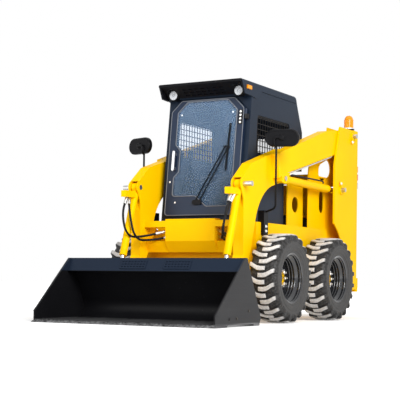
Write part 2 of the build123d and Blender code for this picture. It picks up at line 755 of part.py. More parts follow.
write(side_guards.part, "side_guards")

REAR_WALL = [
    (CAB_SEAT_WALL, CAB_FLOOR + CAB_WALL),
    (CAB_SEAT_WALL, LEDGE_Z),
    (CAB_WAIST_REAR, CAB_WAIST),
    (CAB_WAIST_REAR, REAR_BEND),
    (CAB_REAR_TOP, CAB_ROOF_LOW),
    (CAB_REAR_TOP - CAB_WALL, CAB_ROOF_LOW),
    (CAB_WAIST_REAR - CAB_WALL, REAR_BEND - CAB_WALL / 3),
    (CAB_WAIST_REAR - CAB_WALL, CAB_WAIST + CAB_WALL),
    (CAB_SEAT_WALL - CAB_WALL, LEDGE_Z + CAB_WALL),
    (CAB_SEAT_WALL - CAB_WALL, CAB_FLOOR + CAB_WALL),
]
with BuildPart() as cab_rear:
    plate(REAR_WALL, -CAB_INNER, CAB_INNER)
    block(
        (-REAR_WINDOW_HALF, REAR_WINDOW_HALF),
        (CAB_WAIST_REAR - 2 * CAB_WALL, CAB_WAIST_REAR + CAB_WALL),
        (CAB_WAIST + 1.5 * REAR_WINDOW_EDGE, REAR_BEND - REAR_WINDOW_EDGE),
        Mode.SUBTRACT,
    )
write(cab_rear.part, "cab_rear")

with BuildPart() as rear_window:
    pane_half = REAR_WINDOW_HALF + REAR_WINDOW_EDGE / 2
    pane_rear = CAB_WAIST_REAR - CAB_WALL
    pane_range = (CAB_WAIST + REAR_WINDOW_EDGE, REAR_BEND - REAR_WINDOW_EDGE / 2)
    block((-pane_half, pane_half), (pane_rear - REAR_PANE_T, pane_rear), pane_range)
write(rear_window.part, "rear_window")

with BuildPart() as cab_floor:
    floor_front = cab_front(CAB_FLOOR + CAB_WALL) + CAB_FRAME_T
    block((-CAB_INNER, CAB_INNER), (floor_front, CAB_SEAT_WALL), (CAB_FLOOR, CAB_FLOOR + CAB_WALL))
write(cab_floor.part, "cab_floor")

RAKE = atan(CAB_RAKE)
RAKED = Plane(
    origin=(0, FRONT_FOOT_Y, CAB_FLOOR),
    x_dir=(1, 0, 0),
    z_dir=(0, -cos(RAKE), sin(RAKE)),
)


def raked(z):
    """The distance up the raked front for a height z."""
    return (z - CAB_FLOOR) / cos(RAKE)


with BuildPart() as cab_front_frame:
    opening_half = DOOR_HALF - CAB_POST / 2
    posts = [
        (FRONT_FOOT_Y, CAB_FLOOR),
        (FRONT_FOOT_Y + CAB_FRAME_T, CAB_FLOOR),
        (FRONT_TOP_Y + CAB_FRAME_T, CAB_ROOF_LOW),
        (FRONT_TOP_Y, CAB_ROOF_LOW),
    ]
    plate(posts, -CAB_INNER, CAB_INNER)
    with BuildSketch(RAKED):
        with BuildLine():
            FilletPolyline(
                (-opening_half, raked(DOOR_LOW + CAB_POST)),
                (opening_half, raked(DOOR_LOW + CAB_POST)),
                (opening_half, raked(DOOR_HIGH - CAB_POST)),
                (-opening_half, raked(DOOR_HIGH - CAB_POST)),
                radius=CAB_POST,
                close=True,
            )
        make_face()
    extrude(amount=-CAB_FRAME_T * 2, mode=Mode.SUBTRACT)
write(cab_front_frame.part, "cab_front_frame")

VISOR_ROOT = FRONT_TOP_Y - DOOR_GAP - DOOR_T - HINGE_PIN_R
VISOR_LOW = DOOR_HIGH + DOOR_HEAD
VISOR_EDGE = (CAB_VISOR_TIP + DOOR_HEAD / 2, CAB_ROOF_TOP - CAB_ROOF_DEPTH / 3)
ROOF = [
    (CAB_VISOR_TIP, CAB_ROOF_TOP),
    VISOR_EDGE,
    (VISOR_ROOT, VISOR_LOW),
    (cab_front(VISOR_LOW), VISOR_LOW),
    (FRONT_TOP_Y, CAB_ROOF_LOW),
    (CAB_REAR_TOP, CAB_ROOF_LOW),
    (CAB_REAR_TOP - CAB_ROOF_DEPTH / 3, CAB_ROOF_TOP),
]
CHEEK_REAR = FRONT_TOP_Y - CAB_FRAME_T
CHEEK_Z = CAB_ROOF_TOP - CHEEK_LOW
CHEEK = [
    (CAB_VISOR_TIP, CAB_ROOF_TOP),
    (CAB_VISOR_TIP + CHEEK_FRONT, CHEEK_Z),
    (CHEEK_REAR, CHEEK_Z - CAB_WALL / 2),
    (CHEEK_REAR, CAB_ROOF_TOP - CAB_WALL),
]
SKIRT_Z = CAB_ROOF_TOP - SKIRT_LOW
ROOF_HALF = CAB_HALF + SKIRT_T
VISOR_SLOPE = Plane(
    origin=(0, (VISOR_EDGE[0] + VISOR_ROOT) / 2, (VISOR_EDGE[1] + VISOR_LOW) / 2),
    x_dir=(1, 0, 0),
    z_dir=(0, VISOR_LOW - VISOR_EDGE[1], VISOR_EDGE[0] - VISOR_ROOT),
)


def skirt_face(x):
    """The roof's skirt over the side wall, its rear end swept up, at the distance x from the middle."""
    with BuildSketch(Plane.YZ.offset(x)) as face:
        with BuildLine():
            Polyline(
                (SKIRT_REAR, CAB_ROOF_LOW),
                (CHEEK_REAR - CAB_WALL, CAB_ROOF_LOW),
                (CHEEK_REAR - CAB_WALL, CHEEK_Z),
                (SKIRT_REAR * 0.35, SKIRT_Z),
            )
            ThreePointArc(
                (SKIRT_REAR * 0.35, SKIRT_Z),
                (SKIRT_REAR * 0.77, SKIRT_Z + (CAB_ROOF_LOW - SKIRT_Z) * 0.36),
                (SKIRT_REAR, CAB_ROOF_LOW),
            )
        make_face()
    return face.sketch


with BuildPart() as cab_roof:
    plate(ROOF, -ROOF_HALF, ROOF_HALF)
    fillet(cab_roof.edges().filter_by(Axis.X).group_by(Axis.Z)[-1].sort_by(Axis.Y)[-1], CAB_ROOF_DEPTH * 0.8)
    plate(CHEEK, CAB_INNER, ROOF_HALF)
    plate(CHEEK, -ROOF_HALF, -CAB_INNER)
    extrude(skirt_face(CAB_HALF), amount=SKIRT_T)
    extrude(skirt_face(-ROOF_HALF), amount=SKIRT_T)
    fillet(cab_roof.edges().filter_by(Axis.Y).group_by(Axis.Z)[-1], CAB_ROOF_DEPTH / 4)
    with BuildSketch(VISOR_SLOPE):
        with GridLocations(*VENT_PITCH, 7, 3):
            SlotOverall(*VENT)
    extrude(amount=-VENT_DEPTH, mode=Mode.SUBTRACT)
    for x in (-LAMP_X, LAMP_X):
        lamp_hole = round_face(Plane.XZ.offset(-LAMP_Y - LAMP_R), (x, LAMP_Z), LAMP_R + LAMP_GAP)
        extrude(lamp_hole, amount=3 * LAMP_R, mode=Mode.SUBTRACT)
write(cab_roof.part, "cab_roof")

with BuildPart() as work_lamps:
    for x in (-LAMP_X, LAMP_X):
        extrude(round_face(Plane.XZ.offset(-LAMP_Y - LAMP_R), (x, LAMP_Z), LAMP_R), amount=LAMP_DEPTH)
write(work_lamps.part, "work_lamps")

with BuildPart() as marker_lamps:
    marker_y = (LAMP_Y + MARKER[1] / 2 - MARKER[1], LAMP_Y + MARKER[1] / 2)
    marker_z = (LAMP_Z + MARKER[2] / 4, LAMP_Z + MARKER[2] * 1.25)
    block((ROOF_HALF, ROOF_HALF + MARKER[0]), marker_y, marker_z)
    mirror(about=Plane.YZ)
write(marker_lamps.part, "marker_lamps")

# Cab door, hinged on the machine's left
DOOR_BACK = DOOR_GAP
DOOR_FACE = DOOR_GAP + DOOR_T
DOOR_OUTLINE = [
    (-DOOR_HALF, raked(DOOR_LOW)),
    (DOOR_HALF, raked(DOOR_LOW)),
    (DOOR_HALF, raked(DOOR_HIGH - DOOR_CHAMFER)),
    (DOOR_HALF - DOOR_CHAMFER, raked(DOOR_HIGH)),
    (-DOOR_HALF + DOOR_CHAMFER, raked(DOOR_HIGH)),
    (-DOOR_HALF, raked(DOOR_HIGH - DOOR_CHAMFER)),
]
GLASS_HALF = DOOR_HALF - GLASS_SIDE
GLASS_HIGH = DOOR_HIGH - GLASS_HEAD
GLASS_LOW = DOOR_LOW + GLASS_FOOT
JOG_LOW = HANDLE_Z - HANDLE_LENGTH / 2
JOG_HIGH = HANDLE_Z + HANDLE_LENGTH / 2
GLASS_OUTLINE = [
    (-GLASS_HALF, raked(GLASS_LOW + GLASS_STEP)),
    (WIPER_FOOT[0] - GLASS_JOG / 2, raked(GLASS_LOW + GLASS_STEP)),
    (WIPER_FOOT[0] + GLASS_STEP, raked(GLASS_LOW)),
    (GLASS_HALF, raked(GLASS_LOW)),
    (GLASS_HALF, raked(GLASS_HIGH - GLASS_CHAMFER)),
    (GLASS_HALF - GLASS_CHAMFER, raked(GLASS_HIGH)),
    (-GLASS_HALF + GLASS_CHAMFER, raked(GLASS_HIGH)),
    (-GLASS_HALF, raked(GLASS_HIGH - GLASS_CHAMFER)),
    (-GLASS_HALF, raked(JOG_HIGH + GLASS_JOG)),
    (-GLASS_HALF + GLASS_JOG, raked(JOG_HIGH)),
    (-GLASS_HALF + GLASS_JOG, raked(JOG_LOW)),
    (-GLASS_HALF, raked(JOG_LOW - GLASS_JOG)),
]


def door_face(outline, height, radius, grow):
    """A face on the raked front, its corners rounded and its edge moved out by grow."""
    with BuildSketch(RAKED.offset(height)) as face:
        with BuildLine():
            FilletPolyline(*outline, radius=radius, close=True)
        make_face()
        if grow != 0:
            offset(amount=grow, kind=Kind.ARC, mode=Mode.REPLACE)
    return face.sketch


HINGE_X = DOOR_HALF + HINGE_OFF


def hinge_plane(z):
    """The plane across the cab door's hinge axis at a height z, its y towards the cab."""
    return Plane(
        origin=RAKED.from_local_coords((HINGE_X, raked(z), HINGE_DEPTH)),
        x_dir=(1, 0, 0),
        z_dir=RAKED.y_dir,
    )


def hinge_face(plane, low, high, radius):
    """A knuckle with its leaf, the leaf between two corners in the plane's coordinates."""
    with BuildSketch(plane) as face:
        Circle(radius)
        with BuildLine():
            Polyline(low, (high[0], low[1]), high, (low[0], high[1]), close=True)
        make_face()
    return face.sketch


with BuildPart() as door_hinges:
    for z in HINGE_HEIGHTS:
        extrude(hinge_face(hinge_plane(z), (-HINGE_R / 3, 0), (2 * HINGE_R, HINGE_DEPTH), HINGE_R), amount=HINGE_LEAF)
        extrude(round_face(hinge_plane(z), (0, 0), HINGE_PIN_R), amount=2 * HINGE_LEAF + PIN_HEAD)
    for z in REAR_HINGE_HEIGHTS:
        block((REAR_HINGE[0], REAR_HINGE[0] + HINGE_LEAF), (TOWER_REAR, REAR_HINGE[1]), (z, z + HINGE_LEAF))
        extrude(round_face(Plane.XY.offset(z), REAR_HINGE, HINGE_R), amount=HINGE_LEAF)
        extrude(round_face(Plane.XY.offset(z), REAR_HINGE, HINGE_PIN_R), amount=2 * HINGE_LEAF + PIN_HEAD)
write(door_hinges.part, "door_hinges")

with BuildPart() as door_panel:
    extrude(door_face(DOOR_OUTLINE, DOOR_BACK, DOOR_ROUND, 0), amount=DOOR_T)
    for z in HINGE_HEIGHTS:
        upper = hinge_plane(z).offset(HINGE_LEAF + PIN_FIT)
        extrude(hinge_face(upper, (-HINGE_OFF - GLASS_T, -HINGE_PIN_R), (0, HINGE_PIN_R), HINGE_R), amount=HINGE_LEAF)
        extrude(round_face(upper, (0, 0), HINGE_PIN_R + PIN_FIT), amount=HINGE_LEAF, mode=Mode.SUBTRACT)
    extrude(door_face(GLASS_OUTLINE, DOOR_BACK, GLASS_ROUND, 0), amount=DOOR_T, mode=Mode.SUBTRACT)
    rebate = door_face(GLASS_OUTLINE, DOOR_FACE - GLASS_T, GLASS_ROUND, GLASS_LAP)
    extrude(rebate, amount=GLASS_T, mode=Mode.SUBTRACT)
write(door_panel.part, "door_panel")

with BuildPart() as door_glass:
    pane = door_face(GLASS_OUTLINE, DOOR_FACE - GLASS_T, GLASS_ROUND, GLASS_LAP - GLASS_FIT)
    extrude(pane, amount=GLASS_T)
write(door_glass.part, "door_glass")

HANDLE_X = -GLASS_HALF - HANDLE_W / 2
with BuildPart() as door_handle:
    with BuildSketch(RAKED.offset(DOOR_FACE)):
        with Locations((HANDLE_X, raked(HANDLE_Z))):
            with GridLocations(0, HANDLE_LENGTH - 2 * HANDLE_W, 1, 2):
                Rectangle(HANDLE_W * 0.8, HANDLE_W)
    extrude(amount=HANDLE_OUT * 0.7)
    with BuildSketch(RAKED.offset(DOOR_FACE + HANDLE_OUT * 0.6)):
        with Locations((HANDLE_X, raked(HANDLE_Z))):
            SlotOverall(HANDLE_LENGTH, HANDLE_W, rotation=90)
    extrude(amount=HANDLE_OUT * 0.4)
write(door_handle.part, "door_handle")


def wiper_bar(start, end, width, low, depth):
    """A flat bar over the door between two points of the front view."""
    middle = ((start[0] + end[0]) / 2, raked((start[1] + end[1]) / 2))
    rise = raked(end[1]) - raked(start[1])
    run = end[0] - start[0]
    with BuildSketch(RAKED.offset(DOOR_FACE + low)) as bar:
        with Locations(middle):
            Rectangle(hypot(run, rise), width, rotation=degrees(atan(rise / run)))
    extrude(bar.sketch, amount=depth)


with BuildPart() as wiper:
    wiper_pad = raked(WIPER_FOOT[1])
    with BuildSketch(RAKED.offset(DOOR_FACE)):
        with Locations((WIPER_FOOT[0], wiper_pad)):
            SlotOverall(WIPER_SPREAD * 2.2, WIPER_SPREAD)
    extrude(amount=WIPER_ARM * 1.8)
    for shift in (-WIPER_SPREAD / 2, WIPER_SPREAD / 2):
        wiper_bar(
            (WIPER_FOOT[0] + shift, WIPER_FOOT[1]),
            (WIPER_BLADE[0] + shift / 2 - WIPER_ARM, WIPER_BLADE[1] - shift / 2),
            WIPER_ARM,
            WIPER_ARM,
            WIPER_ARM * 0.8,
        )
    wiper_bar(
        (WIPER_BLADE[0] - WIPER_SPREAD, WIPER_BLADE[1] + WIPER_ARM / 2),
        (WIPER_BLADE[0] + WIPER_SPREAD / 2, WIPER_BLADE[1] - WIPER_ARM / 2),
        WIPER_ARM * 1.6,
        WIPER_ARM * 0.9,
        WIPER_ARM * 0.8,
    )
    wiper_bar(
        (WIPER_BLADE[0] - WIPER_ARM, WIPER_BLADE[1] - WIPER_LENGTH / 2),
        (WIPER_BLADE[0] + WIPER_ARM, WIPER_BLADE[1] + WIPER_LENGTH / 2),
        WIPER_ARM * 1.2,
        GLASS_FIT,
        WIPER_ARM * 1.4,
    )
write(wiper.part, "wiper")

# Operator's place
SEAT_REAR = CAB_SEAT_WALL - 2.5 * SEAT_ROUND
with BuildPart() as seat:
    with BuildSketch(Plane.YZ.offset(-SEAT_HALF)):
        with BuildLine():
            FilletPolyline(
                (SEAT_FRONT, SEAT_Z),
                (SEAT_REAR - SEAT_ROUND / 2, SEAT_Z),
                (SEAT_REAR + SEAT_ROUND, SEAT_Z + SEAT_BACK),
                (SEAT_REAR - 1.6 * SEAT_ROUND, SEAT_Z + SEAT_BACK),
                (SEAT_REAR - SEAT_PAD - SEAT_ROUND, SEAT_Z + SEAT_PAD),
                (SEAT_FRONT, SEAT_Z + SEAT_PAD + SEAT_ROUND / 3),
                radius=SEAT_ROUND,
                close=True,
            )
        make_face()
    extrude(amount=2 * SEAT_HALF)
    fillet(seat.faces().filter_by(Axis.X).edges(), SEAT_ROUND / 2)
write(seat.part, "seat")

with BuildPart() as seat_base:
    base_half = SEAT_HALF - SEAT_ROUND
    base_range = (SEAT_FRONT + SEAT_ROUND, CAB_SEAT_WALL - CAB_WALL)
    block((-base_half, base_half), base_range, (CAB_FLOOR + CAB_WALL, SEAT_Z))
write(seat_base.part, "seat_base")

with BuildPart() as controls:
    console_top = SEAT_Z + CONSOLE_RISE
    for x in (-CONSOLE_X, CONSOLE_X):
        x_range = (x - CONSOLE_HALF, x + CONSOLE_HALF)
        block(x_range, (LEVER_Y - CONSOLE_HALF, CAB_SEAT_WALL - CAB_WALL), (CAB_FLOOR + CAB_WALL, console_top))
        extrude(round_face(Plane.XY.offset(console_top), (x, LEVER_Y), BOOT_R), amount=1.6 * BOOT_R, taper=18)
        extrude(round_face(Plane.XY.offset(console_top), (x, LEVER_Y), LEVER_R), amount=LEVER_LENGTH)
        grip_plane = Plane.XY.offset(console_top + LEVER_LENGTH - LEVER_R)
        extrude(round_face(grip_plane, (x, LEVER_Y), GRIP_R), amount=GRIP_LENGTH)
write(controls.part, "controls")

# Mirrors, beacon and tail lamps
MIRROR_FACE = Plane(
    origin=MIRROR_AT,
    x_dir=(cos(radians(MIRROR_YAW)), sin(radians(MIRROR_YAW)), 0),
    z_dir=(sin(radians(MIRROR_YAW)), -cos(radians(MIRROR_YAW)), 0),
)
with BuildPart() as mirror_heads:
    with BuildSketch(MIRROR_FACE):
        SlotOverall(MIRROR[0], MIRROR[1])
    extrude(amount=MIRROR[2] / 2, both=True)
    fillet(mirror_heads.faces().sort_by(Axis.Y)[0].edges(), MIRROR_EDGE)
    mirror(about=Plane.YZ)
write(mirror_heads.part, "mirror_heads")

STEM_Y = MIRROR_AT[1] - (MIRROR_AT[0] - STEM_X) * tan(radians(MIRROR_YAW))
STEM_TOP = MIRROR_AT[2] - MIRROR[1] / 2
with BuildPart() as mirror_stems:
    clamp_range = (STEM_Y - STEM_CLAMP, STEM_Y + STEM_CLAMP)
    clamp_out = CASE_OUT + STEM_CLAMP * 0.75
    block((CASE_OUT, clamp_out), clamp_range, (CASE_TOP - STEM_PLATE, CASE_TOP))
    block((CASE_OUT - STEM_CLAMP * 0.75, clamp_out), clamp_range, (CASE_TOP, CASE_TOP + STEM_FOOT + STEM_CLAMP / 2))
    with BuildLine() as stem_path:
        FilletPolyline(
            (CASE_OUT, STEM_Y, CASE_TOP + STEM_FOOT),
            (STEM_X, STEM_Y, CASE_TOP + STEM_FOOT + STEM_CLAMP),
            (STEM_X, STEM_Y, STEM_TOP),
            radius=STEM_BEND,
        )
    with BuildSketch(Plane(origin=stem_path.line @ 0, z_dir=stem_path.line % 0)):
        Circle(STEM_R)
    sweep(path=stem_path.line)
    mirror(about=Plane.YZ)
write(mirror_stems.part, "mirror_stems")

BEACON = ((TOWER_IN + TOWER_OUT) / 2, TOWER_REAR - TOWER_CAP / 2)
with BuildPart() as beacon_base:
    extrude(round_face(Plane.XY.offset(BEACON_FOOT), BEACON, BEACON_R + BEACON_RIM), amount=BEACON_BASE)
write(beacon_base.part, "beacon_base")
with BuildPart() as beacon_dome:
    dome_plane = Plane.XY.offset(BEACON_FOOT + BEACON_BASE)
    extrude(round_face(dome_plane, BEACON, BEACON_R), amount=BEACON_HEIGHT - BEACON_BASE)
    fillet(beacon_dome.edges().group_by(Axis.Z)[-1], BEACON_R / 2)
write(beacon_dome.part, "beacon_dome")

with BuildPart() as tail_lamps:
    lamp_range = (TOWER_IN + TAIL_LAMP_EDGE, TOWER_OUT - TAIL_LAMP_EDGE)
    block(lamp_range, (TOWER_REAR, TOWER_REAR + TAIL_LAMP_DEPTH), (TAIL_LAMP_LOW, TAIL_LAMP_HIGH))
    mirror(about=Plane.YZ)
write(tail_lamps.part, "tail_lamps")

# Loader arms
SEAM_Z = ARM_BEND[1] + ARM_TOP_SLOPE * (BEAM_FRONT - ARM_BEND[0])
KNEE_Y = WHEELBASE + 174.0
KNEE_Z = SEAM_Z + ARM_TOP_SLOPE * (KNEE_Y - BEAM_FRONT)
BEAM = [
    (BEAM_FRONT, SEAM_Z),
    (KNEE_Y, KNEE_Z),
    (LIFT_PIVOT[0] - 290, LIFT_PIVOT[1] + 30),
    (LIFT_PIVOT[0], LIFT_PIVOT[1] + BOSS_R),
    (LIFT_PIVOT[0], LIFT_PIVOT[1] - BOSS_R),
    (LIFT_PIVOT[0] - 415, LIFT_PIVOT[1] - 227),
    (BEAM_FRONT + 107, SEAM_Z - 176),
    (BEAM_FRONT + 26, SEAM_Z - 214),
]
LEG_TOE = BOSS_R * 0.88
LEG_CURVE_TOP = (BEAM_FRONT + LEG_LAP * 0.31, SEAM_Z - LEG_LAP * 1.17)
LEG_CURVE_MID = (LEG_FRONT + 310, TILT_PIN[1] - 129)
LEG_CURVE_LOW = (LEG_FRONT + 214, TILT_PIN[1] - 329)
LEG_HEEL = (LEG_FRONT + 138, LEG_KNEE + 29)


def leg_face(x):
    """The lower part of the arm in the side view, hollow-backed above the knee."""
    with BuildSketch(Plane.YZ.offset(x)) as face:
        with BuildLine():
            Polyline(
                LEG_CURVE_LOW,
                LEG_HEEL,
                (BUCKET_PIN[0] + LEG_TOE, BUCKET_PIN[1] - LEG_TOE * 0.73),
                BUCKET_PIN,
                (BUCKET_PIN[0] - LEG_TOE, BUCKET_PIN[1] + LEG_TOE * 0.77),
                (LEG_FRONT, LEG_KNEE),
                (LEG_FRONT, TILT_PIN[1] - 2.4 * LEG_LIP),
                (LEG_FRONT - LEG_LIP * 0.8, TILT_PIN[1] - LEG_LIP * 0.7),
                (LEG_FRONT - LEG_LIP * 0.8, TILT_PIN[1] + LEG_LIP * 0.8),
                ARM_BEND,
                (BEAM_FRONT + LEG_LAP, SEAM_Z + ARM_TOP_SLOPE * LEG_LAP),
                (BEAM_FRONT + LEG_LAP, SEAM_Z - LEG_LAP * 0.67),
                LEG_CURVE_TOP,
            )
            ThreePointArc(LEG_CURVE_TOP, LEG_CURVE_MID, LEG_CURVE_LOW)
        make_face()
    return face.sketch


TILT_POCKET = [
    (LEG_FRONT - 100, TILT_PIN[1] + EYE_R + 14),
    (LEG_FRONT + EYE_R + 14, TILT_PIN[1] + EYE_R + 14),
    (LEG_FRONT + EYE_R + 14, TILT_PIN[1] - 30),
    (LEG_FRONT, TILT_PIN[1] - 205),
    (LEG_FRONT - 100, TILT_PIN[1] - 205),
]
TILT_X = (LEG_IN + LEG_OUT) / 2
POCKET_HALF = TILT_BARREL_R + 5
BRACKET_T = 14.0
BRACKET = [
    (LIFT_ARM_PIN[0] - 70, LIFT_ARM_PIN[1] - 30),
    (LIFT_ARM_PIN[0] - 30, LIFT_ARM_PIN[1] - 44),
    (LIFT_ARM_PIN[0] + 30, LIFT_ARM_PIN[1] - 44),
    (LIFT_ARM_PIN[0] + 110, LIFT_ARM_PIN[1] + 62),
    (LIFT_ARM_PIN[0] - 70, LIFT_ARM_PIN[1] + 40),
]
with BuildPart() as arm_left:
    plate(BEAM, BEAM_IN, BEAM_OUT)
    cross_pin(LIFT_PIVOT, BOSS_R, BEAM_IN, BEAM_OUT)
    extrude(leg_face(LEG_IN), amount=LEG_OUT - LEG_IN)
    cross_pin(BUCKET_PIN, BOSS_R * 1.08, LEG_IN, LEG_OUT)
    cross_pin(TILT_PIN, LEG_LIP * 1.12, LEG_IN, LEG_OUT)
    plate(BRACKET, BEAM_IN, BEAM_OUT)
    plate(TILT_POCKET, TILT_X - POCKET_HALF, TILT_X + POCKET_HALF, Mode.SUBTRACT)
    cross_pin(LIFT_ARM_PIN, EYE_R + 10, BEAM_IN + BRACKET_T, BEAM_OUT - BRACKET_T, Mode.SUBTRACT)
    run = [
        (LIFT_ARM_PIN[0], LIFT_ARM_PIN[1] + EYE_R + 10),
        (LIFT_ARM_PIN[0], LIFT_ARM_PIN[1] - EYE_R - 30),
        (LIFT_ARM_PIN[0] + 200, LIFT_ARM_PIN[1] - EYE_R - 30),
        (LIFT_ARM_PIN[0] + 200, LIFT_ARM_PIN[1] + EYE_R + 8),
    ]
    plate(run, BEAM_IN + BRACKET_T, BEAM_OUT - BRACKET_T, Mode.SUBTRACT)
    for centre in (LIFT_PIVOT, TILT_PIN, BUCKET_PIN, LIFT_ARM_PIN):
        cross_pin(centre, PIN_R + PIN_FIT, LEG_IN - 40, BEAM_OUT + 40, Mode.SUBTRACT)
write(arm_left.part, "arm_left")
write(mirror(arm_left.part, about=Plane.YZ), "arm_right")

WING_TOP = CROSS_TOP - CROSS_STEP
WING_LOW = WING_TOP - CROSS_WING
with BuildPart() as arm_crossmember:
    beam = [
        (CROSS_FRONT, CROSS_TOP),
        (CROSS_FRONT, CROSS_LOW),
        (CROSS_FRONT + CROSS_BEVEL, CROSS_FOOT),
        (CROSS_REAR, CROSS_FOOT),
        (CROSS_REAR, CROSS_TOP),
    ]
    plate(beam, -CROSS_HALF, CROSS_HALF)
    block((-LEG_IN, LEG_IN), (CROSS_FRONT, CROSS_REAR), (WING_LOW, WING_TOP))
    lower = [
        (CROSS_FRONT + CROSS_BEVEL / 3, CROSS_LOW),
        (CROSS_FRONT + CROSS_BEVEL, CROSS_FOOT),
        (CROSS_REAR, CROSS_FOOT),
        (CROSS_REAR, CROSS_LOW),
    ]
    plate(lower, -LEG_IN, LEG_IN)
    for side in (-1, 1):
        with BuildSketch(Plane.XZ.offset(-CROSS_REAR)):
            with BuildLine():
                Polyline(
                    (side * LEG_IN, WING_LOW),
                    (side * (LEG_IN - GUSSET * 0.6), WING_LOW),
                    (side * (LEG_IN - GUSSET * 0.2), CROSS_LOW),
                    (side * LEG_IN, CROSS_LOW),
                    close=True,
                )
            make_face()
        extrude(amount=EAR_T)
write(arm_crossmember.part, "arm_crossmember")

with BuildPart() as arm_pins:
    cross_pin(TILT_PIN, PIN_R, LEG_IN - 4, LEG_OUT + 82)
    cross_pin(LIFT_ARM_PIN, PIN_R, BEAM_IN - 10, BEAM_OUT + 10)
    mirror(about=Plane.YZ)
write(arm_pins.part, "arm_pins")

# Cylinders: the barrel's eye is on the loader arm, the rod's eye at the far pin
LIFT_SPAN = hypot(LIFT_BASE_PIN[0] - LIFT_ARM_PIN[0], LIFT_BASE_PIN[1] - LIFT_ARM_PIN[1])
LIFT_BARREL_LENGTH = LIFT_SPAN - LIFT_ROD_SHOWN
TILT_SPAN = hypot(TILT_ROD_PIN[0] - TILT_PIN[0], TILT_ROD_PIN[1] - TILT_PIN[1])
TILT_BARREL_LENGTH = TILT_SPAN - TILT_ROD_SHOWN
with BuildPart() as lift_barrels:
    rod_between(LIFT_ARM_PIN, LIFT_BASE_PIN, LIFT_X, LIFT_NECK, LIFT_BARREL_LENGTH, LIFT_BARREL_R)
    rod_between(LIFT_ARM_PIN, LIFT_BASE_PIN, LIFT_X, 0, LIFT_NECK, NECK_R)
    cross_pin(LIFT_ARM_PIN, EYE_R, LIFT_X - EYE_W / 2, LIFT_X + EYE_W / 2)
    cross_pin(LIFT_ARM_PIN, PIN_R + PIN_FIT, LIFT_X - 100, LIFT_X + 100, Mode.SUBTRACT)
    rod_between(
        LIFT_ARM_PIN, LIFT_BASE_PIN, LIFT_X, 120, LIFT_BARREL_LENGTH, LIFT_ROD_R + ROD_FIT, Mode.SUBTRACT
    )
    mirror(about=Plane.YZ)
write(lift_barrels.part, "lift_barrels")

with BuildPart() as lift_rods:
    rod_between(LIFT_BASE_PIN, LIFT_ARM_PIN, LIFT_X, 0, LIFT_SPAN - LIFT_ROD_REST, LIFT_ROD_R)
    cross_pin(LIFT_BASE_PIN, EYE_R, LIFT_X - EYE_W / 2, LIFT_X + EYE_W / 2)
    mirror(about=Plane.YZ)
write(lift_rods.part, "lift_rods")

with BuildPart() as tilt_barrels:
    rod_between(TILT_PIN, TILT_ROD_PIN, TILT_X, TILT_NECK, TILT_BARREL_LENGTH, TILT_BARREL_R)
    rod_between(TILT_PIN, TILT_ROD_PIN, TILT_X, 0, TILT_NECK, NECK_R)
    cross_pin(TILT_PIN, EYE_R, TILT_X - EYE_W / 2, TILT_X + EYE_W / 2)
    cross_pin(TILT_PIN, PIN_R + PIN_FIT, TILT_X - 100, TILT_X + 100, Mode.SUBTRACT)
    rod_between(
        TILT_PIN, TILT_ROD_PIN, TILT_X, 90, TILT_BARREL_LENGTH, TILT_ROD_R + ROD_FIT, Mode.SUBTRACT
    )
    port = along(TILT_PIN, TILT_ROD_PIN, PORT_DOWN)
    block(
        (TILT_X - PORT_HALF, TILT_X + PORT_HALF),
        (port[0] - PORT_REACH, port[0] - TILT_BARREL_R + 6),
        (port[1] - PORT_HALF, port[1] + PORT_HALF),
    )
    mirror(about=Plane.YZ)
write(tilt_barrels.part, "tilt_barrels")

with BuildPart() as tilt_rods:
    rod_between(TILT_ROD_PIN, TILT_PIN, TILT_X, 0, TILT_SPAN - TILT_ROD_REST, TILT_ROD_R)
    cross_pin(TILT_ROD_PIN, TILT_EYE_R, TILT_X - EYE_W / 2, TILT_X + EYE_W / 2)
    mirror(about=Plane.YZ)
write(tilt_rods.part, "tilt_rods")

# Hydraulic hoses from the tilt cylinder's port block to the crossmember's end face
PORT_FACE = port[1] - PORT_HALF - PORT_SEAT
HOSE_TOP = PORT_FACE - FERRULE_LENGTH
HOSE_ROUTES = [
    [
        (TILT_X, port[0] - 160, HOSE_TOP),
        (TILT_X, -628, 936),
        (472, -608, 730),
        (436, -402, 740),
        (345, -335, 768),
    ],
    [
        (TILT_X - 10, port[0] - 104, HOSE_TOP),
        (478, -560, 928),
        (430, -544, 706),
        (390, -338, 710),
        (296, -281, 732),
    ],
]


def hose_radii(points):
    """The bend radius at each corner of a hose's route, from the shorter run and the turn."""
    radii = []
    for before, corner, after in zip(points, points[1:], points[2:]):
        first = Vector(corner) - Vector(before)
        second = Vector(after) - Vector(corner)
        turn = radians(first.get_angle(second))
        radii.append(0.45 * min(first.length, second.length) / tan(turn / 2))
    return radii


for number, route in enumerate(HOSE_ROUTES, 1):
    radii = hose_radii(route)
    with BuildPart() as hose_left:
        with BuildLine() as hose_path:
            FilletPolyline(*route, radius=radii)
        with BuildSketch(Plane(origin=hose_path.line @ 0, z_dir=hose_path.line % 0)):
            Circle(HOSE_R)
        sweep(path=hose_path.line)
    print("hose", number, [round(radius) for radius in radii], round(hose_path.wire().length))
    write(hose_left.part, f"hose_left_{number}")
    write(mirror(hose_left.part, about=Plane.YZ), f"hose_right_{number}")

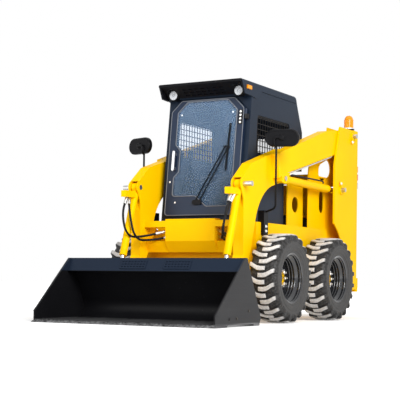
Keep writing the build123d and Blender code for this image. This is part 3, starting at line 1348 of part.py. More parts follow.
with BuildPart() as hose_fittings:
    for route in HOSE_ROUTES:
        first_run = Vector(route[0]) - Vector(route[1])
        last_run = Vector(route[-1]) - Vector(route[-2])
        top = Plane(origin=route[0], z_dir=first_run)
        extrude(round_face(top, (0, 0), FERRULE_R), amount=2 * FERRULE_LENGTH)
        end = Plane(origin=route[-1], z_dir=last_run)
        extrude(round_face(end, (0, 0), FERRULE_R), amount=4 * FERRULE_LENGTH)
    block((TILT_X - 100, TILT_X + 100), (-800, 0), (PORT_FACE, PORT_FACE + 200), Mode.SUBTRACT)
    block((0, CROSS_HALF), (CROSS_FRONT - 100, 0), (CROSS_LOW - 100, CROSS_TOP), Mode.SUBTRACT)
    mirror(about=Plane.YZ)
write(hose_fittings.part, "hose_fittings")

# Bucket
BACK_LENGTH = hypot(BUCKET_TOP_REAR - BUCKET_HEEL[0], BUCKET_APEX[1] - BUCKET_HEEL[1])
BACK_DIR = (
    (BUCKET_TOP_REAR - BUCKET_HEEL[0]) / BACK_LENGTH,
    (BUCKET_APEX[1] - BUCKET_HEEL[1]) / BACK_LENGTH,
)


def on_back(up, out):
    """A point up the bucket's back sheet and out from it to the rear."""
    return (
        BUCKET_HEEL[0] + BACK_DIR[0] * up + BACK_DIR[1] * out,
        BUCKET_HEEL[1] + BACK_DIR[1] * up - BACK_DIR[0] * out,
    )


BUCKET_SIDE_OUTLINE = [
    (BUCKET_LIP_FRONT, BUCKET_LIP_HIGH),
    (BUCKET_LIP_FRONT, BLADE_T),
    (BUCKET_HEEL[0] - 26, BLADE_T),
    BUCKET_HEEL,
    (BUCKET_TOP_REAR, BUCKET_APEX[1]),
    BUCKET_APEX,
]
LIP_TOP = (BUCKET_TOP_REAR - 1.2 * BUCKET_SHEET, BUCKET_APEX[1])
LIP_FOOT = (LIP_TOP[0] - BUCKET_LIP_REACH, BUCKET_APEX[1] - BUCKET_LIP_DROP)
CAVITY = [
    (BUCKET_LIP_FRONT - BLADE_DEPTH, BLADE_T + BUCKET_SHEET),
    (on_back(0, -BUCKET_SHEET)[0] - BUCKET_SHEET, BLADE_T + BUCKET_SHEET),
    on_back(BACK_LENGTH - BUCKET_LIP_DROP * 1.1, -BUCKET_SHEET),
    LIP_FOOT,
    LIP_TOP,
    (LIP_TOP[0], BUCKET_APEX[1] + BLADE_DEPTH),
    (BUCKET_LIP_FRONT - BLADE_DEPTH, BUCKET_APEX[1] + BLADE_DEPTH),
]
CAVITY_ROUND = [0, BUCKET_HEEL_R, 0, 0, 0, 0, 0]
SIDE_EDGE = (BUCKET_LIP_FRONT, BUCKET_LIP_HIGH)
SIDE_BAR_OUTLINE = [
    SIDE_EDGE,
    (SIDE_EDGE[0] + SIDE_BAR, SIDE_EDGE[1]),
    (BUCKET_APEX[0] + SIDE_BAR / 2, BUCKET_APEX[1] - SIDE_BAR / 2),
    BUCKET_APEX,
]
LIP_FACE = Plane(
    origin=(0, (LIP_TOP[0] + LIP_FOOT[0]) / 2, (LIP_TOP[1] + LIP_FOOT[1]) / 2),
    x_dir=(1, 0, 0),
    z_dir=(0, LIP_FOOT[1] - LIP_TOP[1], LIP_TOP[0] - LIP_FOOT[0]),
)
with BuildPart() as bucket_shell:
    plate(BUCKET_SIDE_OUTLINE, -BUCKET_HALF, BUCKET_HALF)
    with BuildSketch(Plane.YZ.offset(-BUCKET_HALF + BUCKET_SIDE)):
        with BuildLine():
            FilletPolyline(*CAVITY, radius=CAVITY_ROUND, close=True)
        make_face()
    extrude(amount=2 * (BUCKET_HALF - BUCKET_SIDE), mode=Mode.SUBTRACT)
    block((-BUCKET_HALF, BUCKET_HALF), BUCKET_PAD, (0, BLADE_T))
    plate(SIDE_BAR_OUTLINE, BUCKET_HALF, BUCKET_HALF + SIDE_BAR_T)
    plate(SIDE_BAR_OUTLINE, -BUCKET_HALF - SIDE_BAR_T, -BUCKET_HALF)
    with BuildSketch(LIP_FACE):
        with Locations(*[(x, 0) for x in STEP_PLATE_X]):
            Rectangle(*STEP_PLATE)
            with GridLocations(*STEP_SLOT_PITCH, 8, 3):
                Rectangle(*STEP_SLOT, mode=Mode.SUBTRACT)
    extrude(amount=STEP_PLATE_T)
write(bucket_shell.part, "bucket_shell")

with BuildPart() as cutting_edge:
    edge = [
        (BLADE_FRONT, 0),
        (BLADE_FRONT + BLADE_DEPTH, 0),
        (BLADE_FRONT + BLADE_DEPTH, BLADE_T),
        (BLADE_FRONT + 22, BLADE_T),
        (BLADE_FRONT, 4),
    ]
    plate(edge, -BUCKET_HALF - 8, BUCKET_HALF + 8)
write(cutting_edge.part, "cutting_edge")

EAR_IN = LEG_IN - EAR_GAP
EAR_OUT = LEG_OUT + EAR_GAP


def ear_face(x):
    """The outline of a hitch ear around both pins, at the distance x from the middle."""
    with BuildSketch(Plane.YZ.offset(x)) as face:
        with Locations(BUCKET_PIN):
            Circle(BOSS_R)
        with Locations(TILT_ROD_PIN):
            Circle(BOSS_R)
        with BuildLine():
            Polyline(
                on_back(HITCH_LOW + 20, HITCH_T - 2),
                on_back(HITCH_HIGH - 10, HITCH_T - 2),
                on_back(HITCH_HIGH - 10, HITCH_T),
                on_back(HITCH_LOW + 20, HITCH_T),
                close=True,
            )
        make_face()
        make_hull()
    return face.sketch


with BuildPart() as hitch_plate:
    slab = [
        on_back(HITCH_LOW, 0),
        on_back(HITCH_HIGH, 0),
        on_back(HITCH_HIGH, HITCH_T),
        on_back(HITCH_LOW, HITCH_T),
    ]
    plate(slab, -HITCH_HALF, HITCH_HALF)
    notch = [
        on_back(HITCH_NOTCH, -1),
        on_back(HITCH_HIGH + 1, -1),
        on_back(HITCH_HIGH + 1, HITCH_T + 1),
        on_back(HITCH_NOTCH, HITCH_T + 1),
    ]
    plate(notch, EAR_IN, EAR_OUT, Mode.SUBTRACT)
    plate(notch, -EAR_OUT, -EAR_IN, Mode.SUBTRACT)
    for x in (EAR_IN - EAR_T, EAR_OUT, -EAR_IN, -EAR_OUT - EAR_T):
        extrude(ear_face(x), amount=EAR_T)
    for centre in (BUCKET_PIN, TILT_ROD_PIN):
        cross_pin(centre, PIN_R + PIN_FIT, -HITCH_HALF, HITCH_HALF, Mode.SUBTRACT)
write(hitch_plate.part, "hitch_plate")

with BuildPart() as hitch_pins:
    cross_pin(BUCKET_PIN, PIN_R, EAR_IN - EAR_T - 6, EAR_OUT + EAR_T + 6)
    cross_pin(TILT_ROD_PIN, PIN_R, EAR_IN - EAR_T - 6, TILT_X - EYE_W / 2 - EYE_PLAY)
    cross_pin(TILT_ROD_PIN, PIN_R, TILT_X + EYE_W / 2 + EYE_PLAY, EAR_OUT + EAR_T + 6)
    mirror(about=Plane.YZ)
write(hitch_pins.part, "hitch_pins")
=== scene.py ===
# %% [markdown]
# # A skid steer loader
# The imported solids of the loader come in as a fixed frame: every node already sits where it belongs,
# in metres, with the ground at z = 0, the machine's left towards +X and its front towards -Y.
# This lesson gives those solids their finishes and adds the small things that a solid leaves out.

# %% Load the frame
import json
import math

import bmesh
import bpy
from mathutils import Matrix, Vector


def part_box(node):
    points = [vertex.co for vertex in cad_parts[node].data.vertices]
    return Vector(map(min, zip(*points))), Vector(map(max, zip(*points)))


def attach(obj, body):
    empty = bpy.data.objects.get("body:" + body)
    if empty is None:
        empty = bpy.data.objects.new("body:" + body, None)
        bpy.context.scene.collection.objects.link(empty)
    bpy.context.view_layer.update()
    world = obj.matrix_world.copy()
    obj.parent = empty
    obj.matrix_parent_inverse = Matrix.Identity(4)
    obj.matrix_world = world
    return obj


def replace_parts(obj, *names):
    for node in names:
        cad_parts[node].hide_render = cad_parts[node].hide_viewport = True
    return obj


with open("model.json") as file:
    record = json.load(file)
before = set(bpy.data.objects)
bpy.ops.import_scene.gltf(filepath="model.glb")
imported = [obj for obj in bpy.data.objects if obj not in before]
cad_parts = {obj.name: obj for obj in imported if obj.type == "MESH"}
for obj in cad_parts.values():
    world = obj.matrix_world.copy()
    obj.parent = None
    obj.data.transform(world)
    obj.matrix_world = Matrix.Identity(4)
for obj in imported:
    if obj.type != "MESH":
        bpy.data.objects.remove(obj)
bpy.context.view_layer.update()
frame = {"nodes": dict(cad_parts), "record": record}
NODES = frame["nodes"]


def placed(name, data):
    """A new object with this data, put into the scene."""
    made = bpy.data.objects.new(name, data)
    bpy.context.scene.collection.objects.link(made)
    return made


def evaluated(thing):
    """A plain mesh of what an object's curve or modifiers make."""
    return bpy.data.meshes.new_from_object(thing.evaluated_get(bpy.context.evaluated_depsgraph_get()))


# %% [markdown]
# ## Camera
# The picture was taken from low down, almost level, with a long lens, and the frame was cropped above
# the optical axis. A camera that is turned up would lean the uprights, so the crop is a lens shift.

# %% Camera
CAMERA_AT = Vector((4.926, -9.033, 0.361))
CAMERA_AZIMUTH = math.radians(29.75)
CAMERA_PITCH = math.radians(0.52)
CAMERA_ROLL = math.radians(0.71)
FOCAL_PIXELS = 1118.16
IMAGE_PIXELS = 400
AXIS_BELOW_MIDDLE = 70


def aim(azimuth, pitch, roll):
    """The camera's turn: its own x to the right, y up and z backwards."""
    level = math.cos(pitch)
    ahead = Vector((-math.sin(azimuth) * level, math.cos(azimuth) * level, math.sin(pitch)))
    right = ahead.cross(Vector((0, 0, 1))).normalized()
    up = right.cross(ahead)
    turned_right = right * math.cos(roll) + up * math.sin(roll)
    turned_up = up * math.cos(roll) - right * math.sin(roll)
    return Matrix((turned_right, turned_up, -ahead)).transposed().to_4x4()


lens = bpy.data.cameras.new("camera")
lens.sensor_width = 36.0
lens.lens = lens.sensor_width * FOCAL_PIXELS / IMAGE_PIXELS
lens.shift_y = AXIS_BELOW_MIDDLE / IMAGE_PIXELS
lens.clip_end = 200.0
camera = placed("camera", lens)
camera.matrix_world = Matrix.Translation(CAMERA_AT) @ aim(CAMERA_AZIMUTH, CAMERA_PITCH, CAMERA_ROLL)
bpy.context.scene.camera = camera
print("lens", round(lens.lens, 1), "mm")

# %% [markdown]
# ## Shader sums
# A finish is mostly sums on values: a mask times a noise, one minus a mask. This class wraps a socket so
# that such sums read as plain arithmetic, and its one `node` method makes every other node.

# %% Shader sums
class Wire:
    """A shader socket that takes part in plain arithmetic."""

    def __init__(self, tree, socket):
        self.tree = tree
        self.socket = socket

    def node(self, kind, settings=None, inputs=None, output=0):
        """Add a node: its settings first, then the values or wires of its sockets."""
        made = self.tree.nodes.new(kind)
        for name, value in (settings or {}).items():
            if name == "stops":
                while len(made.color_ramp.elements) < len(value):
                    made.color_ramp.elements.new(1.0)
                for element, (position, colour) in zip(made.color_ramp.elements, value):
                    element.position = position
                    element.color = (*colour, 1.0)
            else:
                setattr(made, name, value)
        for name, value in (inputs or {}).items():
            if isinstance(value, (Wire, list)):
                for wire in value if isinstance(value, list) else [value]:
                    self.tree.links.new(wire.socket, made.inputs[name])
            else:
                made.inputs[name].default_value = value
        return Wire(self.tree, made.outputs[output])

    def sum(self, operation, first, second=0.0):
        """A Math node on two values or wires."""
        return self.node("ShaderNodeMath", {"operation": operation}, {0: first, 1: second})

    def __add__(self, other):
        return self.sum("ADD", self, other)

    __radd__ = __add__

    def __mul__(self, other):
        return self.sum("MULTIPLY", self, other)

    __rmul__ = __mul__

    def __sub__(self, other):
        return self.sum("SUBTRACT", self, other)

    def __rsub__(self, other):
        return self.sum("SUBTRACT", other, self)

    def __pow__(self, other):
        return self.sum("POWER", self, other)

    def band(self, low, high):
        """Nought below low, one above high, and a straight rise between them."""
        return self.node(
            "ShaderNodeMapRange",
            {"clamp": True},
            {"Value": self, "From Min": low, "From Max": high, "To Min": 0.0, "To Max": 1.0},
        )

    def blend(self, first, second):
        """A colour between two colours, this wire being the share of the second."""
        inputs = {0: self}
        for index, colour in ((6, first), (7, second)):
            inputs[index] = colour if isinstance(colour, Wire) else (*colour, 1.0)
        return self.node("ShaderNodeMix", {"data_type": "RGBA"}, inputs, output=2)

    def noise(self, scale, detail=3.0, roughness=0.5):
        """Soft noise over these coordinates."""
        sockets = {"Vector": self, "Scale": scale, "Detail": detail, "Roughness": roughness}
        return self.node("ShaderNodeTexNoise", None, sockets)

    def stretched(self, x, y, z):
        """These coordinates scaled along each axis."""
        return self.node("ShaderNodeMapping", None, {"Vector": self, "Scale": (x, y, z)})

    def moved(self, x, y, z):
        """These coordinates moved, so that a pattern can be centred on a piece."""
        return self.node("ShaderNodeMapping", None, {"Vector": self, "Location": (x, y, z)})

    def axis(self, index):
        """One coordinate out of three."""
        return self.node("ShaderNodeSeparateXYZ", None, {"Vector": self}, output=index)


def new_finish(name):
    """A material and its Object coordinates."""
    material = bpy.data.materials.new(name)
    material.use_nodes = True
    tree = material.node_tree
    place = tree.nodes.new("ShaderNodeTexCoord")
    return material, Wire(tree, place.outputs["Object"])


def feed(material, values):
    """Set or link the sockets of a material's shader, and hand the material back."""
    tree = material.node_tree
    shader = tree.nodes["Principled BSDF"]
    for name, value in values.items():
        if isinstance(value, Wire):
            tree.links.new(value.socket, shader.inputs[name])
        else:
            shader.inputs[name].default_value = value
    return material


def relief(place, height, strength, distance):
    """A bump from a height."""
    return place.node("ShaderNodeBump", None, {"Height": height, "Strength": strength, "Distance": distance})


# %% [markdown]
# ## Enamel
# Most of the machine is sprayed enamel. Seen close it has orange peel, a fine wavy skin, its gloss
# changes a little from place to place, and dust settles low down.

# %% Enamel
DUST = (0.42, 0.36, 0.29)


def enamel(name, colour, deep, roughness, gloss, dust):
    """Sprayed enamel: a colour with its deeper shade, its roughness, its gloss and its share of dust."""
    material, place = new_finish(name)
    cloud = place.noise(2.2, 4.0)
    peel = place.noise(210.0, 2.0)
    fine = place.noise(38.0, 5.0, 0.65)
    low = 1 - place.axis(2).band(0.05, 1.05)
    settled = low * fine.band(0.42, 0.78) * dust
    tone = cloud.band(0.35, 0.7).blend(deep, colour)
    return feed(material, {
        "Base Color": settled.blend(tone, DUST),
        "Roughness": cloud * 0.10 + settled * 0.5 + (roughness - 0.05),
        "Specular IOR Level": gloss,
        "Normal": relief(place, peel * 0.6 + cloud, 0.08, 0.002),
    })


YELLOW = enamel("yellow_enamel", (1.0, 0.585, 0.0002), (0.98, 0.545, 0.0002), 0.36, 0.03, 0.03)
CAB_BLUE_BLACK = enamel("cab_enamel", (0.014, 0.023, 0.040), (0.010, 0.017, 0.031), 0.40, 0.10, 0.04)
DOOR_BLUE = enamel("door_enamel", (0.009, 0.021, 0.050), (0.007, 0.015, 0.037), 0.32, 0.22, 0.03)
GUARD_BLACK = enamel("guard_enamel", (0.006, 0.006, 0.007), (0.004, 0.004, 0.005), 0.45, 0.12, 0.0)
RIM_BLACK = enamel("rim_enamel", (0.016, 0.017, 0.020), (0.010, 0.011, 0.013), 0.15, 0.80, 0.0)
CAST_BLACK = enamel("casting_enamel", (0.020, 0.020, 0.021), (0.013, 0.013, 0.014), 0.55, 0.15, 0.3)


VISOR_BACK = -0.320
VISOR_HALF = 0.422


def roof_two_tone():
    """The roof's enamel, with the visor's front sprayed dull black against glare."""
    material, place = new_finish("roof_enamel")
    cloud = place.noise(2.2, 4.0)
    ahead = 1 - place.axis(1).band(VISOR_BACK - 0.002, VISOR_BACK + 0.002)
    within = 1 - place.sum("ABSOLUTE", place.axis(0)).band(VISOR_HALF - 0.001, VISOR_HALF + 0.001)
    visor = ahead * within
    blue = cloud.blend((0.010, 0.017, 0.031), (0.014, 0.023, 0.040))
    return feed(material, {
        "Base Color": visor.blend(blue, cloud.blend((0.002, 0.002, 0.003), (0.004, 0.004, 0.006))),
        "Roughness": cloud * 0.10 + visor * 0.10 + 0.35,
        "Specular IOR Level": 0.10,
        "Normal": relief(place, place.noise(210.0, 2.0) * 0.6 + cloud, 0.08, 0.002),
    })


ROOF_TWO_TONE = roof_two_tone()
print("enamels", YELLOW.name, CAB_BLUE_BLACK.name, RIM_BLACK.name, CAST_BLACK.name)

# %% [markdown]
# ## Bucket black
# The bucket is black enamel too, but it is new and has been pushed about on its floor: long thin
# scratches run front to back and the lower sheet is rubbed grey, its grey streaks partly a painted reflection.
# The outer side plates are painted a lighter grey for the light that falls on them, and the rail on top has a
# painted blue-black reflection of the sky.

# %% Bucket black
BUCKET_SIDE = 0.855
RAIL_LOW = 0.430


def bucket_black():
    """Black enamel with scratches that run front to back, a rubbed floor that is partly a painted reflection,
    painted light on the outer sides and a painted sky reflection on the rail.
    """
    material, place = new_finish("bucket_enamel")
    streak = place.stretched(60.0, 1.6, 60.0).noise(1.0, 5.0, 0.6)
    cloud = place.noise(2.6, 4.0)
    peel = place.noise(190.0, 2.0)
    low = 1 - place.axis(2).band(0.012, 0.030)
    outer = place.sum("ABSOLUTE", place.axis(0)).band(BUCKET_SIDE, BUCKET_SIDE + 0.003)
    # partly rubbed wear, partly a painted reflection: grey streaks along the lowest strip of the floor
    rubbed_and_sheen = low * streak.band(0.36, 0.66) * 0.95
    # painted light: the outer side plates are painted a lighter grey for the light that falls on them
    sides = outer * (cloud * 0.07 + streak * 0.05 + 0.05)
    scratch = streak.band(0.66, 0.70) * cloud.band(0.45, 0.6) * 0.10
    # the wear share carries the scratches together with the painted light and the painted reflection
    worn_and_lit = rubbed_and_sheen + sides + scratch
    # painted reflection: the top rail is painted blue-black for the sky it reflects
    rail_sky_sheen = place.axis(2).band(RAIL_LOW, RAIL_LOW + 0.003) * (1 - outer)
    black = cloud.blend((0.004, 0.004, 0.005), (0.008, 0.008, 0.009))
    return feed(material, {
        "Base Color": worn_and_lit.blend(rail_sky_sheen.blend(black, (0.012, 0.019, 0.034)), (0.24, 0.24, 0.245)),
        "Roughness": cloud * 0.14 + worn_and_lit * 0.2 + 0.30,
        "Specular IOR Level": 0.07,
        "Normal": relief(place, peel * 0.5 + streak * 0.5, 0.08, 0.002),
    })


BUCKET_BLACK = bucket_black()
print("bucket finish", BUCKET_BLACK.name)

# %% [markdown]
# ## Tyre rubber
# New rubber is nearly black, but these tyres have rolled over dry ground: the lugs' tops carry pale dust
# while the flanks stay dark. How far a point lies from the axle tells lug from flank, so each axle has
# its own centre in the coordinates.

# %% Tyre rubber
TYRE_RADIUS = 0.387


def tyre_rubber(name, axle_y):
    """Rubber that is dusty near its outer radius, round the axle at axle_y."""
    material, place = new_finish(name)
    centred = place.moved(0.0, -axle_y, -TYRE_RADIUS)
    across = centred.axis(1)
    up = centred.axis(2)
    radius = (across * across + up * up) ** 0.5
    crumb = place.noise(55.0, 6.0, 0.7)
    patch = place.noise(9.0, 3.0)
    rings = place.sum("SINE", radius * 620.0) * (1 - radius.band(0.312, 0.330)) * 0.5
    tread = radius.band(TYRE_RADIUS - 0.016, TYRE_RADIUS - 0.006)
    flank = (1 - radius.band(0.312, 0.330)) * (crumb.band(0.3, 0.8) * 0.04 + 0.03)
    shoulder = radius.band(0.318, 0.345) * crumb.band(0.45, 0.75) * 0.10
    dusty = tread * (patch.band(0.25, 0.6) * 0.25 + crumb.band(0.30, 0.70) * 0.30 + 0.40) + flank + shoulder
    return feed(material, {
        "Base Color": dusty.blend((0.014, 0.0135, 0.0135), (0.78, 0.76, 0.74)),
        "Roughness": dusty * 0.20 + 0.62,
        "Specular IOR Level": 0.3,
        "Normal": relief(place, crumb + place.noise(240.0, 2.0) * 0.5 + rings, 0.35, 0.0015),
    })


FRONT_AXLE_Y = (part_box("tyre_front_left")[0].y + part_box("tyre_front_left")[1].y) / 2
REAR_AXLE_Y = (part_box("tyre_rear_left")[0].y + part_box("tyre_rear_left")[1].y) / 2
FRONT_RUBBER = tyre_rubber("tyre_rubber_front", FRONT_AXLE_Y)
REAR_RUBBER = tyre_rubber("tyre_rubber_rear", REAR_AXLE_Y)
print("axles at", round(FRONT_AXLE_Y, 3), round(REAR_AXLE_Y, 3))

# %% [markdown]
# ## Bare metal
# Pins are ground steel with turning marks, cylinder rods are hard chrome, and the hose ends are zinc.
# A picture of steel could be wrapped on, but a noise stretched along one axis gives the same fine grain
# at any size and needs no file.

# %% Bare metal
def metal(name, colour, roughness, grain):
    """Bare metal with a fine grain across its length."""
    material, place = new_finish(name)
    turned = place.stretched(400.0, 30.0, 30.0).noise(1.0, 2.0)
    cloud = place.noise(14.0, 4.0)
    return feed(material, {
        "Base Color": cloud.band(0.3, 0.75).blend(tuple(0.78 * part for part in colour), colour),
        "Metallic": 1.0,
        "Roughness": turned * grain + cloud * 0.08 + (roughness - 0.04),
        "Normal": relief(place, turned, 0.06, 0.0005),
    })


PIN_STEEL = metal("ground_steel", (0.62, 0.61, 0.59), 0.30, 0.12)
CHROME = metal("hard_chrome", (0.80, 0.81, 0.83), 0.08, 0.03)
ZINC = metal("zinc_plate", (0.72, 0.72, 0.70), 0.28, 0.10)
BRIGHT_ZINC = metal("bright_zinc", (0.93, 0.93, 0.92), 0.34, 0.06)
HANDLE_ALLOY = metal("cast_alloy", (0.66, 0.67, 0.69), 0.34, 0.08)
print("metals", PIN_STEEL.name, CHROME.name, ZINC.name, BRIGHT_ZINC.name, HANDLE_ALLOY.name)

# %% [markdown]
# ## Plastics, rubber hose, vinyl, lenses and glass
# Moulded skins differ in colour, gloss and the size of their pebbled grain, so one function makes them
# all. Lenses have fine flutes and a faint glow. The panes could refract light, but thin flat glass hardly
# bends it, so they are simply seen through and tinted.

# %% Soft and clear finishes
def moulded(name, colour, roughness, grain_size, depth):
    """Moulded plastic, hose rubber or vinyl: a dark skin with a pebbled grain."""
    material, place = new_finish(name)
    pebble = place.node("ShaderNodeTexVoronoi", None, {"Vector": place, "Scale": grain_size})
    cloud = place.noise(7.0, 3.0)
    return feed(material, {
        "Base Color": cloud.blend(tuple(0.7 * part for part in colour), tuple(1.3 * part for part in colour)),
        "Roughness": cloud * 0.14 + (roughness - 0.07),
        "Specular IOR Level": 0.10,
        "Normal": relief(place, pebble, depth, 0.0008),
    })


BLACK_PLASTIC = moulded("black_plastic", (0.005, 0.005, 0.006), 0.38, 420.0, 0.12)
HOSE_RUBBER = moulded("hose_rubber", (0.010, 0.010, 0.011), 0.42, 260.0, 0.2)
SEAL_RUBBER = moulded("seal_rubber", (0.17, 0.18, 0.20), 0.5, 300.0, 0.1)
SEAT_VINYL = moulded("seat_vinyl", (0.022, 0.022, 0.024), 0.52, 330.0, 0.35)


def lens_plastic(name, colour, glow):
    """Clear coloured plastic with fine upright flutes."""
    material, place = new_finish(name)
    flutes = place.node("ShaderNodeTexWave", {"bands_direction": "Y"}, {"Vector": place, "Scale": 60.0})
    return feed(material, {
        "Base Color": flutes.blend(tuple(0.75 * part for part in colour), colour),
        "Roughness": flutes * 0.08 + 0.08,
        "Specular IOR Level": 0.2,
        "Coat Weight": 0.2,
        "Emission Color": (*colour, 1.0),
        "Emission Strength": glow,
        "Normal": relief(place, flutes, 0.25, 0.001),
    })


AMBER = lens_plastic("amber_lens", (0.92, 0.32, 0.004), 0.10)
TAIL_RED = lens_plastic("tail_lens", (0.70, 0.03, 0.02), 0.05)
LAMP_CLEAR = lens_plastic("lamp_lens", (0.60, 0.62, 0.65), 0.03)


def pane(name, tint, body):
    """Window glass: mostly seen through, tinted more towards its top, with faint wipe marks in its gloss."""
    material, place = new_finish(name)
    smear = place.stretched(1.0, 1.0, 0.35).noise(4.0, 4.0)
    high = place.axis(2).band(1.05, 1.95)
    return feed(material, {
        "Base Color": smear.blend(tuple(0.8 * part for part in tint), tint),
        "Roughness": smear * 0.04 + 0.02,
        "Alpha": smear * 0.08 + (high * 0.9 + 0.35) * body,
    })


GLASS = pane("window_glass", (0.26, 0.46, 0.76), 0.13)
print("clear finishes", AMBER.name, TAIL_RED.name, LAMP_CLEAR.name, GLASS.name)

# %% [markdown]
# ## Dressing the solids
# Each node already says which finish it wants through its record slot, so a table from slot to material
# dresses nearly all of them. A few nodes have a finish of their own within their slot.

# %% Dressing the solids
FINISHES = {
    "yellow_paint": YELLOW,
    "cab_paint": CAB_BLUE_BLACK,
    "bucket_paint": BUCKET_BLACK,
    "rim_paint": RIM_BLACK,
    "axle_steel": CAST_BLACK,
    "engine": CAST_BLACK,
    "pin_steel": PIN_STEEL,
    "fitting_steel": ZINC,
    "barrel_paint": YELLOW,
    "rod_chrome": CHROME,
    "hose": HOSE_RUBBER,
    "window_glass": GLASS,
    "guard": GUARD_BLACK,
    "seat_cover": SEAT_VINYL,
    "black_plastic": BLACK_PLASTIC,
    "handle": HANDLE_ALLOY,
    "lamp": LAMP_CLEAR,
    "amber_lens": AMBER,
    "tail_lens": TAIL_RED,
}
OWN_FINISHES = {
    "cab_roof": ROOF_TWO_TONE,
    "door_panel": DOOR_BLUE,
    "door_hinges": CAST_BLACK,
    "work_lamps": BLACK_PLASTIC,
}
for part in frame["record"]["subparts"]:
    name = part["node"]
    material = FINISHES.get(part["material_slot"])
    if part["material_slot"] == "tyre":
        material = FRONT_RUBBER if "front" in name else REAR_RUBBER
    material = OWN_FINISHES.get(name, material)
    NODES[name].data.materials.clear()
    NODES[name].data.materials.append(material)

# %% [markdown]
# ## Hoses
# Two hoses on each side leave the tilt cylinder's port block, hang down and turn in to the crossmember.
# A hose bends smoothly, so each is one NURBS curve whose control points are the route's corners.

# %% Hoses
HOSE_RADIUS = 0.010
HOSE_ROUTES = (
    (
        (0.5165, -0.8557, 1.0220),
        (0.5165, -0.9020, 0.9360),
        (0.4720, -0.8820, 0.7300),
        (0.4360, -0.6760, 0.7400),
        (0.3450, -0.6090, 0.7680),
    ),
    (
        (0.5065, -0.7997, 1.0220),
        (0.4780, -0.8340, 0.9280),
        (0.4300, -0.8180, 0.7060),
        (0.3900, -0.6120, 0.7100),
        (0.2960, -0.5550, 0.7320),
    ),
)


def spline_length(curve):
    """The length of a curve's own line, read from its unbevelled mesh."""
    radius, curve.bevel_depth = curve.bevel_depth, 0.0
    carrier = placed("length_carrier", curve)
    line = evaluated(carrier)
    places = [point.co for point in line.vertices]
    length = sum((places[edge.vertices[0]] - places[edge.vertices[1]]).length for edge in line.edges)
    bpy.data.objects.remove(carrier)
    bpy.data.meshes.remove(line)
    curve.bevel_depth = radius
    return length


def hose(name, route):
    """A hose along its route's control points."""
    curve = bpy.data.curves.new(name, "CURVE")
    curve.dimensions = "3D"
    curve.bevel_depth = HOSE_RADIUS
    curve.bevel_resolution = 6
    curve.use_fill_caps = True
    spline = curve.splines.new("NURBS")
    spline.points.add(len(route) - 1)
    for point, place in zip(spline.points, route):
        point.co = (*place, 1.0)
    spline.order_u = 3
    spline.use_endpoint_u = True
    spline.resolution_u = 24
    curve.materials.append(HOSE_RUBBER)
    return placed(name, curve)


for side, mark in ((1, "left"), (-1, "right")):
    for number, route in enumerate(HOSE_ROUTES, 1):
        node = f"hose_{mark}_{number}"
        points = [(side * x, y, z) for x, y, z in route]
        piece = hose(f"tilt_{node}", points)
        length = spline_length(piece.data)
        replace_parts(piece, node)
        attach(piece, "arms")
        print(node, "length", round(length, 3))

# %% [markdown]
# ## Helpers for small pieces
# A small piece is a mesh whose place is already in its points. Turned pieces are a profile swung round
# the axle direction, plates are an outline given a depth and softened edges. Places are given in
# millimetres: x to the machine's left, the distance behind the front axle, and the height.

# %% Helpers for small pieces
def spot(x, behind, z):
    """A point from millimetres: left of the middle, behind the front axle, above the ground."""
    return Vector((x / 1000, FRONT_AXLE_Y + behind / 1000, z / 1000))


def finished(name, form, smooth=38.0):
    """A mesh out of a bmesh: faces outwards, smooth but for edges sharper than the angle."""
    bmesh.ops.remove_doubles(form, verts=form.verts, dist=1e-6)
    bmesh.ops.recalc_face_normals(form, faces=form.faces)
    mesh = bpy.data.meshes.new(name)
    form.to_mesh(mesh)
    form.free()
    mesh.polygons.foreach_set("use_smooth", [True] * len(mesh.polygons))
    mesh.set_sharp_from_angle(angle=math.radians(smooth))
    return mesh


def turned(name, profile, steps=48, closed=True):
    """A profile of (along the axle, radius) points swung round the axle direction x."""
    form = bmesh.new()
    rings = []
    for step in range(steps):
        angle = 2 * math.pi * step / steps
        rings.append([form.verts.new((x, -r * math.sin(angle), r * math.cos(angle))) for x, r in profile])
    count = len(profile)
    for step, ring in enumerate(rings):
        following = rings[(step + 1) % steps]
        for point in range(count if closed else count - 1):
            after = (point + 1) % count
            form.faces.new((ring[point], ring[after], following[after], following[point]))
    return finished(name, form)


def plate(name, outline, depth, edge=0.0):
    """An outline with a depth along z, the edges of its outer face softened."""
    form = bmesh.new()
    low = [form.verts.new((u, v, 0.0)) for u, v in outline]
    high = [form.verts.new((u, v, depth)) for u, v in outline]
    form.faces.new(low[::-1])
    top = form.faces.new(high)
    for point in range(len(outline)):
        after = (point + 1) % len(outline)
        form.faces.new((low[point], low[after], high[after], high[point]))
    if edge > 0:
        bmesh.ops.bevel(form, geom=list(top.edges), offset=edge, segments=2, affect="EDGES", profile=0.6)
    return finished(name, form)


def rounded(width, height, radius, steps=5):
    """The outline of a rectangle with round corners, about its middle."""
    corners = ((1, 1, 0), (-1, 1, 90), (-1, -1, 180), (1, -1, 270))
    points = []
    for u, v, start in corners:
        for step in range(steps + 1):
            angle = math.radians(start + 90 * step / steps)
            points.append((
                u * (width / 2 - radius) + radius * math.cos(angle),
                v * (height / 2 - radius) + radius * math.sin(angle),
            ))
    return points


def facing(origin, out, up=(0, 0, 1)):
    """The place of a flat piece: its z along out, its y as near to up as it can be."""
    out = Vector(out).normalized()
    across = Vector(up).cross(out).normalized()
    return Matrix.Translation(origin) @ Matrix((across, out.cross(across), out)).transposed().to_4x4()


def along_x(origin, out):
    """The place of a turned piece: its axle along out."""
    turn = Vector((1, 0, 0)).rotation_difference(Vector(out))
    return Matrix.Translation(origin) @ turn.to_matrix().to_4x4()


def moved(mesh, place):
    """The mesh with a place worked into its points."""
    mesh.transform(place)
    return mesh


